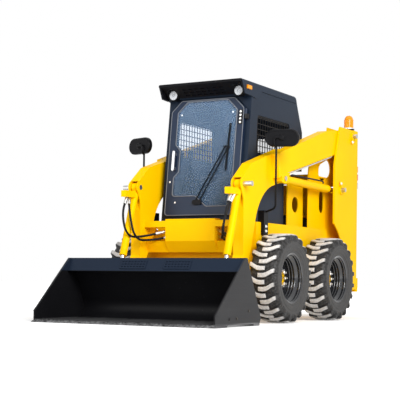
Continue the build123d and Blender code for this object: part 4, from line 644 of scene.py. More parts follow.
def joined(name, meshes):
    """Several meshes as one, with the first one's finish."""
    form = bmesh.new()
    for mesh in meshes:
        form.from_mesh(mesh)
    whole = bpy.data.meshes.new(name)
    form.to_mesh(whole)
    form.free()
    for material in meshes[0].materials:
        whole.materials.append(material)
    return whole


def fitted(name, mesh, body, finish=None):
    """A finished piece, of one mesh or a list, that rides on a body and takes the given finish."""
    if isinstance(mesh, list):
        mesh = joined(name, mesh)
    if finish is not None:
        mesh.materials.clear()
        mesh.materials.append(finish)
    made = placed(name, mesh)
    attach(made, body)
    print(name, "on", body, len(mesh.polygons), "faces")
    return made


# %% [markdown]
# ## Three node trees
# Much on a machine repeats: lugs and nuts round an axle, bolts on a plate, and tubes or beads along a
# path. Copying meshes in a loop would do, but a node tree keeps the rule in one place with its sizes as
# named inputs. Each tree ends in realized geometry with its finish, and the result is kept as plain mesh.

# %% Tree makers
def open_tree(name, sockets):
    """An empty tree with its named inputs, as wires by name."""
    tree = bpy.data.node_groups.new(name, "GeometryNodeTree")
    tree.interface.new_socket("Geometry", in_out="OUTPUT", socket_type="NodeSocketGeometry")
    tree.interface.new_socket("Geometry", in_out="INPUT", socket_type="NodeSocketGeometry")
    for label, kind in sockets.items():
        tree.interface.new_socket(label, in_out="INPUT", socket_type=f"NodeSocket{kind}")
    entry = tree.nodes.new("NodeGroupInput")
    return tree, {socket.name: Wire(tree, socket) for socket in entry.outputs if socket.name}


def close_tree(tree, geometry, finish):
    """End a tree in Realize Instances and Set Material."""
    real = geometry.node("GeometryNodeRealizeInstances", None, {"Geometry": geometry})
    coated = real.node("GeometryNodeSetMaterial", None, {"Geometry": real, "Material": finish})
    end = tree.nodes.new("NodeGroupOutput")
    tree.links.new(coated.socket, end.inputs["Geometry"])
    return tree


def grown(name, seed, tree, values):
    """Run a tree on a seed mesh and keep what it makes as a plain mesh."""
    carrier = placed(f"{name}_seed", seed)
    modifier = carrier.modifiers.new("grow", "NODES")
    modifier.node_group = tree
    for item in tree.interface.items_tree:
        if item.in_out == "INPUT" and item.name in values:
            modifier[item.identifier] = values[item.name]
    mesh = evaluated(carrier)
    mesh.name = name
    carrier.modifiers.remove(modifier)
    bpy.data.objects.remove(carrier)
    return mesh


# %% [markdown]
# ### Copies round an axle
# Bars, nuts, lenses and flutes all sit evenly round an axle. The tree turns each copy by its number.

# %% Copies round an axle
def axle_tree():
    """Copies of a shape turned about x, evenly spaced from a first turn."""
    tree, entry = open_tree("round_the_axle", {"Count": "Int", "First Turn": "Float", "Finish": "Material"})
    shape = entry["Geometry"]
    points = shape.node("GeometryNodePoints", None, {"Count": entry["Count"]})
    number = shape.node("GeometryNodeInputIndex")
    turn = number * (2 * math.pi) * (entry["Count"] ** -1.0) + entry["First Turn"]
    euler = shape.node("ShaderNodeCombineXYZ", None, {"X": turn})
    rotation = shape.node("FunctionNodeEulerToRotation", None, {"Euler": euler})
    copies = shape.node(
        "GeometryNodeInstanceOnPoints", None, {"Points": points, "Instance": shape, "Rotation": rotation}
    )
    return close_tree(tree, copies, entry["Finish"])


AXLE_TREE = axle_tree()
print("tree", AXLE_TREE.name)


def ring_of(name, shape, count, first_turn, finish):
    """A shape repeated round the axle direction."""
    return grown(name, shape, AXLE_TREE, {"Count": count, "First Turn": first_turn, "Finish": finish})


# %% [markdown]
# ### Bolts
# A bolt head is a washer, a six-sided barrel and a chamfer. The tree stacks three cones and turns the
# stack to the way that each point carries as an attribute.

# %% Bolts on a surface
BOLT_STACK = ((16, 1.4, 1.3, 0.0, 0.2), (6, 1.0, 1.0, 0.2, 0.6), (6, 1.0, 0.78, 0.8, 0.2))


def bolt_tree():
    """A washer and a chamfered six-sided head on each point, standing along the point's own way."""
    tree, entry = open_tree("bolt_heads", {"Radius": "Float", "Height": "Float", "Finish": "Material"})
    radius, height = entry["Radius"], entry["Height"]
    parts = []
    for sides, wide, narrow, low, deep in BOLT_STACK:
        cone = radius.node("GeometryNodeMeshCone", None, {
            "Vertices": sides,
            "Radius Top": radius * narrow,
            "Radius Bottom": radius * wide,
            "Depth": height * deep,
        })
        lift = radius.node("ShaderNodeCombineXYZ", None, {"Z": height * low})
        parts.append(radius.node("GeometryNodeTransform", None, {"Geometry": cone, "Translation": lift}))
    head = radius.node("GeometryNodeJoinGeometry", None, {"Geometry": parts})
    way = radius.node("GeometryNodeInputNamedAttribute", {"data_type": "FLOAT_VECTOR"}, {"Name": "way"})
    turn = radius.node("FunctionNodeAlignRotationToVector", {"axis": "Z"}, {"Vector": way})
    heads = radius.node("GeometryNodeInstanceOnPoints", None, {
        "Points": entry["Geometry"], "Instance": head, "Rotation": turn,
    })
    return close_tree(tree, heads, entry["Finish"])


BOLT_TREE = bolt_tree()
print("tree", BOLT_TREE.name)


def bolts(name, body, spots, radius, height, finish):
    """Bolt heads on (place, way) spots, as one piece on a body."""
    seed = bpy.data.meshes.new(f"{name}_spots")
    seed.from_pydata([tuple(place) for place, way in spots], [], [])
    ways = seed.attributes.new("way", "FLOAT_VECTOR", "POINT")
    ways.data.foreach_set("vector", [part for place, way in spots for part in Vector(way).normalized()])
    heads = grown(name, seed, BOLT_TREE, {"Radius": radius, "Height": height, "Finish": finish})
    fitted(name, heads, body)


# %% [markdown]
# ### Tubes
# Pipes, rims and rubber beads follow a path with rounded corners: the path becomes a curve, its corners
# are filleted, and a circle is swept along it.

# %% Tubes and beads along a path
def tube_tree():
    """A round tube along the seed's edges, its corners bent to a radius."""
    tree, entry = open_tree("tube_on_a_path", {"Radius": "Float", "Bend": "Float", "Finish": "Material"})
    line = entry["Geometry"].node("GeometryNodeMeshToCurve", None, {"Mesh": entry["Geometry"]})
    bent = line.node("GeometryNodeFilletCurve", {"mode": "POLY"}, {
        "Curve": line, "Radius": entry["Bend"], "Limit Radius": True, "Count": 6,
    })
    ring = line.node("GeometryNodeCurvePrimitiveCircle", None, {"Resolution": 10, "Radius": entry["Radius"]})
    skin = line.node("GeometryNodeCurveToMesh", None, {
        "Curve": bent, "Profile Curve": ring, "Fill Caps": True,
    })
    soft = line.node("GeometryNodeSetShadeSmooth", None, {"Geometry": skin})
    return close_tree(tree, soft, entry["Finish"])


TUBE_TREE = tube_tree()


def tube(name, points, radius, bend, finish, closed=False):
    """A tube or bead through a path's corners."""
    seed = bpy.data.meshes.new(f"{name}_path")
    edges = [(n, n + 1) for n in range(len(points) - 1)] + ([(len(points) - 1, 0)] if closed else [])
    seed.from_pydata([tuple(point) for point in points], edges, [])
    return grown(name, seed, TUBE_TREE, {"Radius": radius, "Bend": bend, "Finish": finish})


print("tree", TUBE_TREE.name)

# %% [markdown]
# ## Tyres
# A skid steer tyre is a fat bias-ply carcass with deep bars that run from the middle out to the shoulder,
# the two rows half a pitch apart. The carcass is a turned profile with rim guard and moulded rings; one
# bar of each row is built on top of the wheel and the axle tree carries it round.

# %% Tyres
BARS = 20
FIRST_BAR_BACK = 0.042
BAR_TURN = -math.asin(FIRST_BAR_BACK / TYRE_RADIUS)
HALF_CARCASS = (
    (0.105, 0.2125), (0.113, 0.216), (0.119, 0.226), (0.1195, 0.236), (0.1245, 0.241), (0.127, 0.252),
    (0.1268, 0.262), (0.1290, 0.264), (0.1298, 0.273), (0.1318, 0.275), (0.1318, 0.279), (0.1298, 0.281),
    (0.1298, 0.298), (0.1320, 0.300), (0.1320, 0.312), (0.1300, 0.314), (0.1270, 0.316), (0.1270, 0.320),
    (0.1292, 0.322), (0.1275, 0.328), (0.121, 0.339), (0.112, 0.349), (0.098, 0.356), (0.070, 0.3595),
    (0.035, 0.361),
)
BAR_STATIONS = (
    (-0.030, -0.0350, -0.0010, 0.3855, 0.354),
    (0.012, -0.0375, -0.0020, 0.3865, 0.354),
    (0.042, -0.0330, 0.0035, 0.3868, 0.353),
    (0.070, -0.0180, 0.0180, 0.3862, 0.350),
    (0.094, -0.0030, 0.0320, 0.3848, 0.345),
    (0.114, 0.0040, 0.0390, 0.3800, 0.334),
    (0.126, 0.0060, 0.0405, 0.3690, 0.320),
    (0.1317, 0.0080, 0.0390, 0.3380, 0.309),
)


def tread_bar(side):
    """One bar of one row at the top of the wheel, its outer edges rounded."""
    form = bmesh.new()
    rows = []
    for x, low, high, top, foot in BAR_STATIONS:
        corners = ((low - 0.006, foot), (low, top), (high, top), (high + 0.006, foot))
        angles = [(span / TYRE_RADIUS, radius) for span, radius in corners]
        rows.append([form.verts.new((side * x, r * math.sin(a), r * math.cos(a))) for a, r in angles])
    crown = []
    for row, after in zip(rows, rows[1:]):
        for corner in range(4):
            form.faces.new((row[corner], row[(corner + 1) % 4], after[(corner + 1) % 4], after[corner]))
        crown += [form.edges.get((row[1], after[1])), form.edges.get((row[2], after[2]))]
    form.faces.new(rows[0])
    form.faces.new(rows[-1][::-1])
    crown += [form.edges.get((rows[0][1], rows[0][2])), form.edges.get((rows[-1][1], rows[-1][2]))]
    bmesh.ops.bevel(form, geom=crown, offset=0.0045, segments=2, affect="EDGES", profile=0.6)
    return finished("tread_bar", form, 50.0)


def tyre(name, centre, rubber):
    """A whole tyre about its wheel's centre."""
    half = list(HALF_CARCASS)
    carcass = turned(f"{name}_carcass", half + [(-x, r) for x, r in reversed(half)], 96)
    carcass.materials.append(rubber)
    pitch = 2 * math.pi / BARS
    outer = ring_of(f"{name}_bars", tread_bar(1), BARS, BAR_TURN, rubber)
    inner = ring_of(f"{name}_bars", tread_bar(-1), BARS, BAR_TURN + pitch / 2, rubber)
    return moved(joined(name, [carcass, outer, inner]), Matrix.Translation(centre))


WHEELS = {}
for place in ("front_left", "front_right", "rear_left", "rear_right"):
    low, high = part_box(f"tyre_{place}")
    WHEELS[place] = ((low + high) / 2).copy()
    WHEELS[place].z = TYRE_RADIUS
    rubber = FRONT_RUBBER if "front" in place else REAR_RUBBER
    whole = tyre(place, WHEELS[place], rubber)
    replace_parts(fitted(f"lugged_tyre_{place}", whole, f"wheel_{place}", rubber), f"tyre_{place}")

# %% [markdown]
# ## Hubs and wheel nuts
# The axle's flange shows yellow round the nut circle, and eight bright long nuts on studs hold the disc.
# The ring is a turned profile and the axle tree carries the nut round. Both turn with the wheel, so they
# ride on it.

# %% Hubs and wheel nuts
HUB_FACE = -0.016
NUT_CIRCLE = 0.069
NUT_COUNT = 8
NUT_STACK = (
    (16, 0.0180, 0.0165, 0.000, 0.005),
    (6, 0.0155, 0.0155, 0.005, 0.028),
    (6, 0.0155, 0.0115, 0.033, 0.004),
    (12, 0.0085, 0.0076, 0.037, 0.013),
)


def wheel_nut():
    """A long nut with its collar and stud on the nut circle, pointing outwards along x."""
    form = bmesh.new()
    for sides, wide, narrow, low, deep in NUT_STACK:
        bmesh.ops.create_cone(
            form, cap_ends=True, segments=sides, radius1=wide, radius2=narrow, depth=deep,
            matrix=Matrix.Translation((0, 0, low + deep / 2)),
        )
    mesh = bpy.data.meshes.new("wheel_nut")
    form.to_mesh(mesh)
    form.free()
    return moved(mesh, Matrix.Translation((0, 0, NUT_CIRCLE)) @ Matrix.Rotation(math.pi / 2, 4, "Y"))


HUB_PROFILE = (
    (-0.0098, 0.044), (-0.0098, 0.1040), (-0.0010, 0.1060), (0.0050, 0.1020), (0.0065, 0.0960),
    (0.0065, 0.0520), (0.0090, 0.0490), (0.0185, 0.0465), (0.0185, 0.0440),
)
for place, centre in WHEELS.items():
    side = 1 if centre.x > 0 else -1
    face = Matrix.Translation(centre + Vector((side * HUB_FACE, 0, 0)))
    way = face @ Matrix.Rotation(math.pi * (side < 0), 4, "Z")
    ring = moved(turned(f"hub_ring_{place}", HUB_PROFILE, 64), way)
    fitted(f"hub_ring_{place}", ring, f"wheel_{place}", YELLOW)
    nuts = moved(ring_of(f"wheel_nuts_{place}", wheel_nut(), NUT_COUNT, 0.0, BRIGHT_ZINC), way)
    fitted(f"wheel_nuts_{place}", nuts, f"wheel_{place}", BRIGHT_ZINC)

# %% [markdown]
# ## Rolled beads in the rims
# A rim is rolled from flat strip, and the rollers leave round beads along its well and its bead seat.
# They stiffen the strip, and they catch the light as bright lines. Each is a half-round profile swung
# round the axle.

# %% Rolled beads in the rims
WELL_INSIDE = 0.180
SEAT_INSIDE = 0.2037
ROLLED = ((0.000, WELL_INSIDE), (0.028, WELL_INSIDE), (0.052, WELL_INSIDE), (0.092, SEAT_INSIDE))
BEAD_SHAPE = (
    (-0.010, 0.001), (-0.007, -0.0038), (-0.0035, -0.0062), (0.0, -0.0070),
    (0.0035, -0.0062), (0.007, -0.0038), (0.010, 0.001),
)
for place, centre in WHEELS.items():
    side = 1 if centre.x > 0 else -1
    beads = []
    for x, radius in ROLLED:
        profile = [(side * (x + along), radius + up) for along, up in BEAD_SHAPE]
        beads.append(turned("rim_bead", profile, 72))
    beads = moved(joined(f"rim_beads_{place}", beads), Matrix.Translation(centre))
    fitted(f"rim_beads_{place}", beads, f"wheel_{place}", RIM_BLACK)

# %% [markdown]
# ## Cab door trim
# The pane lies in a grey rubber seal, and each hinge has a bolted plate on the door's edge. The front of
# the cab leans back a little, so one function gives a point on it from a width, a height and how far it
# stands off; the seal is a bead along the pane's outline there.

# %% Cab door trim
FRONT_LEAN = 0.122
FRONT_FOOT_BEHIND = -128.0
FRONT_FOOT_HIGH = 872.0
DOOR_FACE = 36.0
FRONT_NORMAL = Vector((0, -1, FRONT_LEAN)).normalized()
FRONT_UP = Vector((0, FRONT_LEAN, 1)).normalized()


def on_front(x, z, off):
    """A point on the leaning front of the cab, in millimetres, standing off its plane."""
    return spot(x, FRONT_FOOT_BEHIND + FRONT_LEAN * (z - FRONT_FOOT_HIGH), z) + FRONT_NORMAL * (off / 1000)


PANE_EDGE = (
    (-303, 1108), (-64, 1108), (54, 1012), (303, 1012), (303, 1872), (208, 1967), (-208, 1967), (-303, 1872),
    (-303, 1577), (-253, 1527), (-253, 1329), (-303, 1279),
)
DOOR_EDGE = ((-368, 936), (368, 936), (368, 1882), (271, 1978), (-271, 1978), (-368, 1882))
for name, outline, off, radius, bend in (
    ("pane_seal", PANE_EDGE, 0.5, 0.0045, 0.028),
    ("door_edge", DOOR_EDGE, 0.0, 0.0035, 0.030),
):
    path = [on_front(x, z, DOOR_FACE + off) for x, z in outline]
    bead = tube(name, path, radius, bend, SEAL_RUBBER, closed=True)
    fitted(name, bead, "door", SEAL_RUBBER)

# %% Hinge plates and pane bolts
HINGE_ACROSS = 342.0
HINGE_HEIGHTS = (1143.0, 1800.0)
PANE_BOLTS = ((-268, 1052), (262, 1850), (-262, 1850), (-338, 1240))
hinge_plates = []
hinge_bolts = []
for z in HINGE_HEIGHTS:
    leaf = plate("hinge_plate", rounded(0.040, 0.130, 0.008), 0.006, 0.0015)
    hinge_plates.append(moved(leaf, facing(on_front(HINGE_ACROSS, z, DOOR_FACE), FRONT_NORMAL, FRONT_UP)))
    hinge_bolts += [(on_front(HINGE_ACROSS, z + up, DOOR_FACE + 6), FRONT_NORMAL) for up in (-48, -16, 16, 48)]
fitted("hinge_plates", hinge_plates, "door", CAST_BLACK)
bolts("hinge_bolts", "door", hinge_bolts, 0.0075, 0.007, BRIGHT_ZINC)
pane_bolts = [(on_front(x, z, DOOR_FACE), FRONT_NORMAL) for x, z in PANE_BOLTS]
bolts("pane_bolts", "door", pane_bolts, 0.0060, 0.005, BRIGHT_ZINC)

# %% [markdown]
# ## Lamps
# A work lamp under the visor has a ring of small lenses behind a bezel; the beacon is a clear amber dome
# with upright flutes; a tail lamp is a stack of amber, red and clear lenses. One lens or flute is built
# and the axle tree repeats it, so that their number stays easy to change.

# %% Work lamps
PETAL = (
    (0.012, -0.0075), (0.036, -0.0135), (0.040, -0.0100), (0.040, 0.0100), (0.036, 0.0135), (0.012, 0.0075),
)
SWAP_X_AND_Z = Matrix(((0, 0, 1, 0), (0, 1, 0, 0), (1, 0, 0, 0), (0, 0, 0, 1)))
LAMP_ACROSS = 0.334
LAMP_HIGH = 2.034
GLASS_PROFILE = ((-0.010, 0.0), (-0.010, 0.0430), (0.000, 0.0430), (0.002, 0.0420), (0.002, 0.0))
BEZEL_PROFILE = (
    (-0.020, 0.0465), (-0.020, 0.0520), (0.006, 0.0520), (0.009, 0.0495), (0.007, 0.0430), (0.0, 0.0430),
    (0.0, 0.0465),
)
LAMP_BOWL = metal("lamp_bowl", (0.30, 0.31, 0.33), 0.35, 0.05)
lamp_lenses = []
lamp_bowls = []
lamp_bezels = []
low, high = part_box("work_lamps")
for x in (-LAMP_ACROSS, LAMP_ACROSS):
    face = along_x(Vector((x, low.y - 0.001, LAMP_HIGH)), (0, -1, 0))
    petal = plate("lamp_petal", PETAL, 0.005, 0.0018)
    petal = moved(petal, Matrix.Translation((0.002, 0, 0)) @ SWAP_X_AND_Z)
    outward = bmesh.new()
    outward.from_mesh(petal)
    petal = finished("lamp_petal", outward)
    lamp_lenses.append(moved(ring_of("lamp_lenses", petal, 9, 0.0, LAMP_CLEAR), face))
    lamp_bowls.append(moved(turned("lamp_bowl", GLASS_PROFILE, 40, closed=False), face))
    lamp_bezels.append(moved(turned("lamp_bezel", BEZEL_PROFILE, 48), face))
fitted("work_lamp_lenses", lamp_lenses, "chassis", LAMP_CLEAR)
fitted("work_lamp_bowls", lamp_bowls, "chassis", LAMP_BOWL)
fitted("work_lamp_bezels", lamp_bezels, "chassis", BLACK_PLASTIC)

# %% Beacon
low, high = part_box("beacon_dome")
BEACON = Vector(((low.x + high.x) / 2, (low.y + high.y) / 2, low.z))
TALL = high.z - low.z
DOME = (
    (0.0, 0.0), (0.0, 0.0495), (0.010, 0.0495), (0.012, 0.0470), (TALL * 0.62, 0.0455),
    (TALL * 0.82, 0.0400), (TALL * 0.94, 0.0280), (TALL * 0.99, 0.0130), (TALL, 0.0),
)
UPRIGHT = along_x(BEACON, (0, 0, 1))
dome = moved(turned("beacon_shell", DOME, 64, closed=False), UPRIGHT)
flute = plate("beacon_flute", rounded(0.0028, 0.0030, 0.0010, 2), TALL * 0.60)
flute = moved(flute, Matrix.Translation((0.013, 0, 0.0458)) @ Matrix.Rotation(math.pi / 2, 4, "Y"))
flutes = moved(ring_of("beacon_flutes", flute, 36, 0.0, AMBER), UPRIGHT)
beacon = fitted("beacon_shell", [dome, flutes], "chassis", AMBER)
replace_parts(beacon, "beacon_dome")
FERRULE = ((-0.001, 0.0500), (-0.001, 0.0560), (0.004, 0.0565), (0.008, 0.0545), (0.012, 0.0500))
ferrule = moved(turned("beacon_ferrule", FERRULE, 64), UPRIGHT)
fitted("beacon_ferrule", ferrule, "chassis", BRIGHT_ZINC)

# %% Tail lamps
low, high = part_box("tail_lamps")
TAIL_STACK = {
    "amber": (1.512, AMBER, "amber_lens"),
    "red": (1.430, TAIL_RED, "tail_lens"),
    "clear": (1.347, LAMP_CLEAR, "lamp"),
}
BACKWARDS = (0, 1, 0)
backs = []
for side in (-1, 1):
    middle = Vector((side * 0.585, low.y, 1.430))
    panel = plate("tail_back", rounded(0.122, 0.250, 0.014), 0.012, 0.003)
    backs.append(moved(panel, facing(middle, BACKWARDS)))
back = fitted("tail_lamp_backs", backs, "chassis", BLACK_PLASTIC)
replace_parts(back, "tail_lamps")
for label, (z, finish, slot) in TAIL_STACK.items():
    lenses = []
    for side in (-1, 1):
        middle = Vector((side * 0.586, low.y + 0.012, z))
        panel = plate("tail_lens", rounded(0.112, 0.076, 0.012), 0.026, 0.007)
        lenses.append(moved(panel, facing(middle, BACKWARDS)))
    fitted(f"tail_{label}", lenses, "chassis", finish)

# %% [markdown]
# ## Mirrors
# From the front one sees only the moulded shells with their rim, ball joint and bent arm; the glass looks
# back at the operator, a little inside the shell. Tubes and a turned ball are enough for these, because
# the shell itself is one of the solids.

# %% Mirrors
MIRROR_YAW = math.radians(18.0)
MIRROR_BALL = (
    (-0.004, 0.0), (-0.004, 0.030), (0.006, 0.030), (0.010, 0.024), (0.020, 0.018), (0.024, 0.0),
)
mirror_panes = []
mirror_trim = []
for side in (-1, 1):
    front_way = Vector((side * math.sin(MIRROR_YAW), -math.cos(MIRROR_YAW), 0))
    middle = spot(side * 730.0, -7.0, 1602.0)
    glass = plate("mirror_pane", rounded(0.268, 0.118, 0.058, 10), 0.002, 0.0008)
    mirror_panes.append(moved(glass, facing(middle - front_way * 0.0215, -front_way)))
    place = facing(middle + front_way * 0.0205, front_way)
    rim = [place @ Vector((u, v, 0)) for u, v in rounded(0.272, 0.122, 0.060, 8)]
    mirror_trim.append(tube("mirror_rim", rim, 0.0045, 0.004, BLACK_PLASTIC, closed=True))
    ball = turned("mirror_ball", MIRROR_BALL, 24, closed=False)
    mirror_trim.append(moved(ball, place @ along_x((0, 0, 0), (0, 0, 1))))
    foot = spot(side * 680.0, -23.0, 1500.0)
    ahead = foot.y - 0.040
    bend = [
        foot, foot + Vector((0, 0, 0.018)), Vector((foot.x, ahead, 1.540)), Vector((foot.x, ahead, 1.604)),
        place @ Vector((0, 0, 0.016)),
    ]
    mirror_trim.append(tube("mirror_arm", bend, 0.0085, 0.018, BLACK_PLASTIC))
fitted("mirror_trim", mirror_trim, "chassis", BLACK_PLASTIC)
fitted("mirror_panes", mirror_panes, "chassis", CHROME)

# %% [markdown]
# ## Pipes and keepers
# Steel pipes carry the oil along the underside of the arms and the top of the lift barrels, because a
# hose there would chafe. They are swept tubes; clamps and unions are too small to see. Each big pin in a
# tower is kept from turning by a small plate with one bolt.

# %% Pipes under the arms
BEAM_LOW_FRONT = (430.0, 1348.0)
BEAM_LOW_REAR = (1330.0, 1578.0)
pipes = []
for side in (-1, 1):
    for x in (592.0, 616.0):
        front, rear = spot(side * x, *BEAM_LOW_FRONT), spot(side * x, *BEAM_LOW_REAR)
        path = [front + Vector((0, -0.035, 0.030)), front, rear, rear + Vector((0, 0.030, 0.040))]
        pipes.append(tube("oil_pipe", path, 0.0085, 0.030, ZINC))
fitted("oil_pipes", pipes, "arms", ZINC)

# %% Feed pipes on the lift barrels
FEED_PATH = ((520.0, 1312.0), (520.0, 1334.0), (1240.0, 1334.0), (1240.0, 1312.0))
feed_pipes = []
for side in (-1, 1):
    path = [spot(side * 575.0, behind, z) for behind, z in FEED_PATH]
    feed_pipes.append(tube("feed_pipe", path, 0.0075, 0.014, CAST_BLACK))
fitted("feed_pipes", feed_pipes, "lift_barrel", CAST_BLACK)

# %% Keepers
KEEPER_OUT = 662.0
KEEPER_REACH = 58.0
KEEPER_WAYS = ((1790.0, 1828.0, -0.5, -0.87), (1505.0, 1267.0, -0.5, 0.87))
keepers = []
chassis_bolts = []
for side in (-1, 1):
    for behind, z, dy, dz in KEEPER_WAYS:
        middle = spot(side * KEEPER_OUT, behind + dy * KEEPER_REACH, z + dz * KEEPER_REACH)
        bar = plate("keeper", rounded(0.030, 0.064, 0.008), 0.008, 0.002)
        keepers.append(moved(bar, facing(middle, (side, 0, 0), (0, dy, dz))))
        chassis_bolts.append((middle + Vector((side * 0.008, dy * 0.012, dz * 0.012)), (side, 0, 0)))
fitted("keeper_plates", keepers, "chassis", YELLOW)

# %% [markdown]
# ## Bolts by body
# Plates, hood and blade are held by bolts. Bolts on the same body with the same size are one mesh, because
# they move together; the spots are listed and the bolt tree does the rest.

# %% Bolts by body
for side in (-1, 1):
    out = (side, 0, 0)
    for z in (450.0, 640.0, 1000.0, 1240.0):
        chassis_bolts.append((spot(side * 570.0, 1935.0, z), (0, 1, 0)))
    for x in (120.0, 300.0, 450.0):
        chassis_bolts.append((spot(side * x, -150.0, 812.0), (0, -1, 0)))
    for z in (795.0, 835.0):
        chassis_bolts.append((spot(side * 590.0, -23.0, z), out))
bolts("chassis_bolts", "chassis", chassis_bolts, 0.0105, 0.010, BRIGHT_ZINC)

UP = (0, 0, 1)
HOOD_ROWS = (1140, 1400, 1660, 1890)
hood_bolts = [(spot(x, behind, 1394.0), UP) for x in (-470, 470) for behind in HOOD_ROWS]
bolts("hood_bolts", "chassis", hood_bolts, 0.008, 0.007, BRIGHT_ZINC)

BLADE_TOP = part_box("cutting_edge")[1].z
blade_bolts = [(Vector((-0.78 + 0.195 * n, -1.560, BLADE_TOP)), UP) for n in range(9)]
for side in (-1, 1):
    for behind, z in ((-1180.0, 60.0), (-1060.0, 64.0), (-860.0, 120.0)):
        blade_bolts.append((spot(side * 860.0, behind, z), (side, 0, 0)))
bolts("bucket_bolts", "bucket", blade_bolts, 0.011, 0.007, CAST_BLACK)

# %% [markdown]
# ## Inside the cab
# The operator sits on a vinyl seat with sewn channels, under a safety bar that swings down from the roof.
# Foam under vinyl bulges between its seams, so each pad is a slightly small block that a cloth simulation
# blows up, and the channels are pressed in afterwards.

# %% Safety bar
SAFETY_BAR = (
    (-250, 610, 2052), (-250, 360, 1955), (-215, 60, 1925), (-120, 10, 1775),
    (120, 10, 1775), (215, 60, 1925), (250, 360, 1955), (250, 610, 2052),
)
bar = tube("safety_bar", [spot(*point) for point in SAFETY_BAR], 0.014, 0.060, BLACK_PLASTIC)
fitted("safety_bar", bar, "chassis", BLACK_PLASTIC)

# %% Seat pads
SWELL_CAP = 0.014
VOXEL = 0.009
PRESSURE = 4.0
LAST_FRAME = 20
CHANNEL_HALF = 0.007


def slab(name, low, high, lean):
    """A block between two corners with soft edges, leaning back by lean for each unit of height."""
    form = bmesh.new()
    bmesh.ops.create_cube(form, size=1.0)
    for vert in form.verts:
        vert.co = Vector([a + (b - a) * (part + 0.5) for a, b, part in zip(low, high, vert.co)])
        vert.co.y += lean * (vert.co.z - low.z)
    bmesh.ops.bevel(form, geom=list(form.edges), offset=0.018, segments=3, affect="EDGES", profile=0.6)
    return finished(name, form)


def swollen(name, mesh):
    """The block remeshed and blown up by cloth, no point moving further than the cap."""
    pad = placed(name, mesh)
    remesh = pad.modifiers.new("remesh", "REMESH")
    remesh.mode = "VOXEL"
    remesh.voxel_size = VOXEL
    fine = evaluated(pad)
    pad.modifiers.remove(remesh)
    pad.data = fine
    start = [vert.co.copy() for vert in fine.vertices]
    cloth = pad.modifiers.new("swell", "CLOTH")
    cloth.settings.use_pressure = True
    cloth.settings.uniform_pressure_force = PRESSURE
    cloth.settings.effector_weights.gravity = 0.0
    for frame_number in range(1, LAST_FRAME + 1):
        bpy.context.scene.frame_set(frame_number)
    blown = evaluated(pad)
    pad.modifiers.remove(cloth)
    for vert, rest in zip(blown.vertices, start):
        step = vert.co - rest
        vert.co = rest + step * min(1.0, SWELL_CAP / max(step.length, 1e-9))
    pad.data = blown
    bpy.context.scene.frame_set(1)
    mesh = pad.data
    bpy.data.objects.remove(pad)
    return mesh


def channelled(mesh, middles, axis, depth, towards):
    """Press sewn channels across a pad at the given middles of an axis."""
    for vert in mesh.vertices:
        nearest = min(abs(vert.co[axis] - middle) for middle in middles)
        facing_share = max(0.0, vert.normal.dot(towards))
        vert.co -= towards * (depth * facing_share * math.exp(-((nearest / CHANNEL_HALF) ** 2)))
    mesh.polygons.foreach_set("use_smooth", [True] * len(mesh.polygons))
    return mesh


# %% The two pads
low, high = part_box("seat")
BACK_LEAN = 0.20
CHANNELS = (-0.135, -0.045, 0.045, 0.135)
PADS = (
    (
        "seat_cushion", 0.0, Vector((0, 0, 1)),
        Vector((low.x + 0.012, low.y + 0.012, low.z + 0.012)),
        Vector((high.x - 0.012, high.y - 0.085, low.z + 0.098)),
    ),
    (
        "seat_rest", BACK_LEAN, Vector((0, -1, BACK_LEAN)).normalized(),
        Vector((low.x + 0.015, high.y - 0.180, low.z + 0.091)),
        Vector((high.x - 0.015, high.y - 0.110, high.z - 0.012)),
    ),
)
for name, lean, towards, corner, far_corner in PADS:
    block = slab(name, corner, far_corner, lean)
    cover = channelled(swollen(name, block), CHANNELS, 0, 0.006, towards)
    pad = fitted(name, cover, "chassis", SEAT_VINYL)
    soften = pad.modifiers.new("soften", "SUBSURF")
    soften.levels = soften.render_levels = 1
    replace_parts(pad, "seat")

# %% [markdown]
# ## Stage and light
# The picture was lit from the machine's left and from above, so its left faces are bright and its front
# is a little softer. One broad key light stands there, with a weak fill in front and a soft light on top.
# The floor is pale and lit like the machine, so it keeps the shadow. What the camera and reflections see
# of the floor gets a little glow that grows with distance, and far away it is as white as the sky.

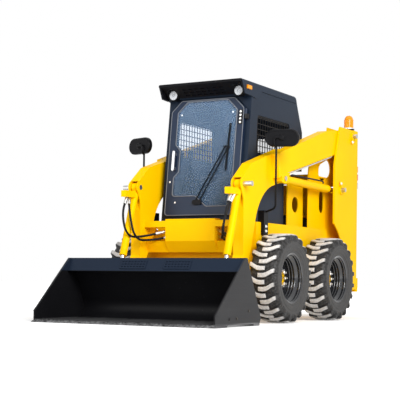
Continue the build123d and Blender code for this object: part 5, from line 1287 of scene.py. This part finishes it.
# %% Stage and light
def seen_rays(tree):
    """One for camera, glossy and transmission rays, nought for the light that falls on things."""
    path = tree.nodes.new("ShaderNodeLightPath")
    rays = [Wire(tree, path.outputs[f"Is {kind} Ray"]) for kind in ("Camera", "Glossy", "Transmission")]
    return (rays[0] + rays[1] + rays[2]).band(0.0, 1.0)


def pale_ground():
    """A pale floor that keeps the machine's shadow and turns white far away."""
    material, place = new_finish("pale_floor")
    across, along = place.axis(0), place.axis(1)
    away = ((across * across + along * along) ** 0.5).band(1.9, 4.6)
    glow = (away * 0.70 + 0.30) * seen_rays(material.node_tree)
    return feed(material, {
        "Base Color": place.noise(0.6, 2.0).blend((0.90, 0.90, 0.90), (0.93, 0.93, 0.93)),
        "Roughness": 0.9,
        "Specular IOR Level": 0.0,
        "Emission Color": glow.blend((0.0, 0.0, 0.0), (1.0, 1.0, 1.0)),
        "Emission Strength": 1.0,
    })


floor_mesh = bpy.data.meshes.new("floor")
SPAN = 60.0
FLOOR_Z = -0.002
corners = [(x * SPAN, y * SPAN, FLOOR_Z) for x, y in ((-1, -1), (1, -1), (1, 1), (-1, 1))]
floor_mesh.from_pydata(corners, [], [(0, 1, 2, 3)])
floor_mesh.materials.append(pale_ground())
floor = placed("floor", floor_mesh)


MIDDLE = (0.0, 0.0, 0.9)


def area_light(name, place, size, power):
    """A square soft light that looks at the machine's middle."""
    light = bpy.data.lights.new(name, "AREA")
    light.shape = "SQUARE"
    light.size = size
    light.energy = power
    lamp = placed(name, light)
    turn = (Vector(MIDDLE) - Vector(place)).to_track_quat("-Z", "Y")
    lamp.matrix_world = Matrix.Translation(place) @ turn.to_matrix().to_4x4()


area_light("key", (7.2, -5.6, 5.2), 4.5, 1015.0)
area_light("fill", (-3.0, -9.0, 3.0), 5.0, 224.0)
area_light("top", (0.0, 0.5, 8.0), 6.0, 106.0)

SKY_LIGHT = 0.40
world = bpy.data.worlds.new("sky")
world.use_nodes = True
bpy.context.scene.world = world
backdrop = world.node_tree.nodes["Background"]
brightness = seen_rays(world.node_tree) * (1 - SKY_LIGHT) + SKY_LIGHT
world.node_tree.links.new(brightness.socket, backdrop.inputs["Strength"])
backdrop.inputs["Color"].default_value = (1.0, 1.0, 1.0, 1.0)

bpy.context.scene.view_settings.view_transform = "Standard"
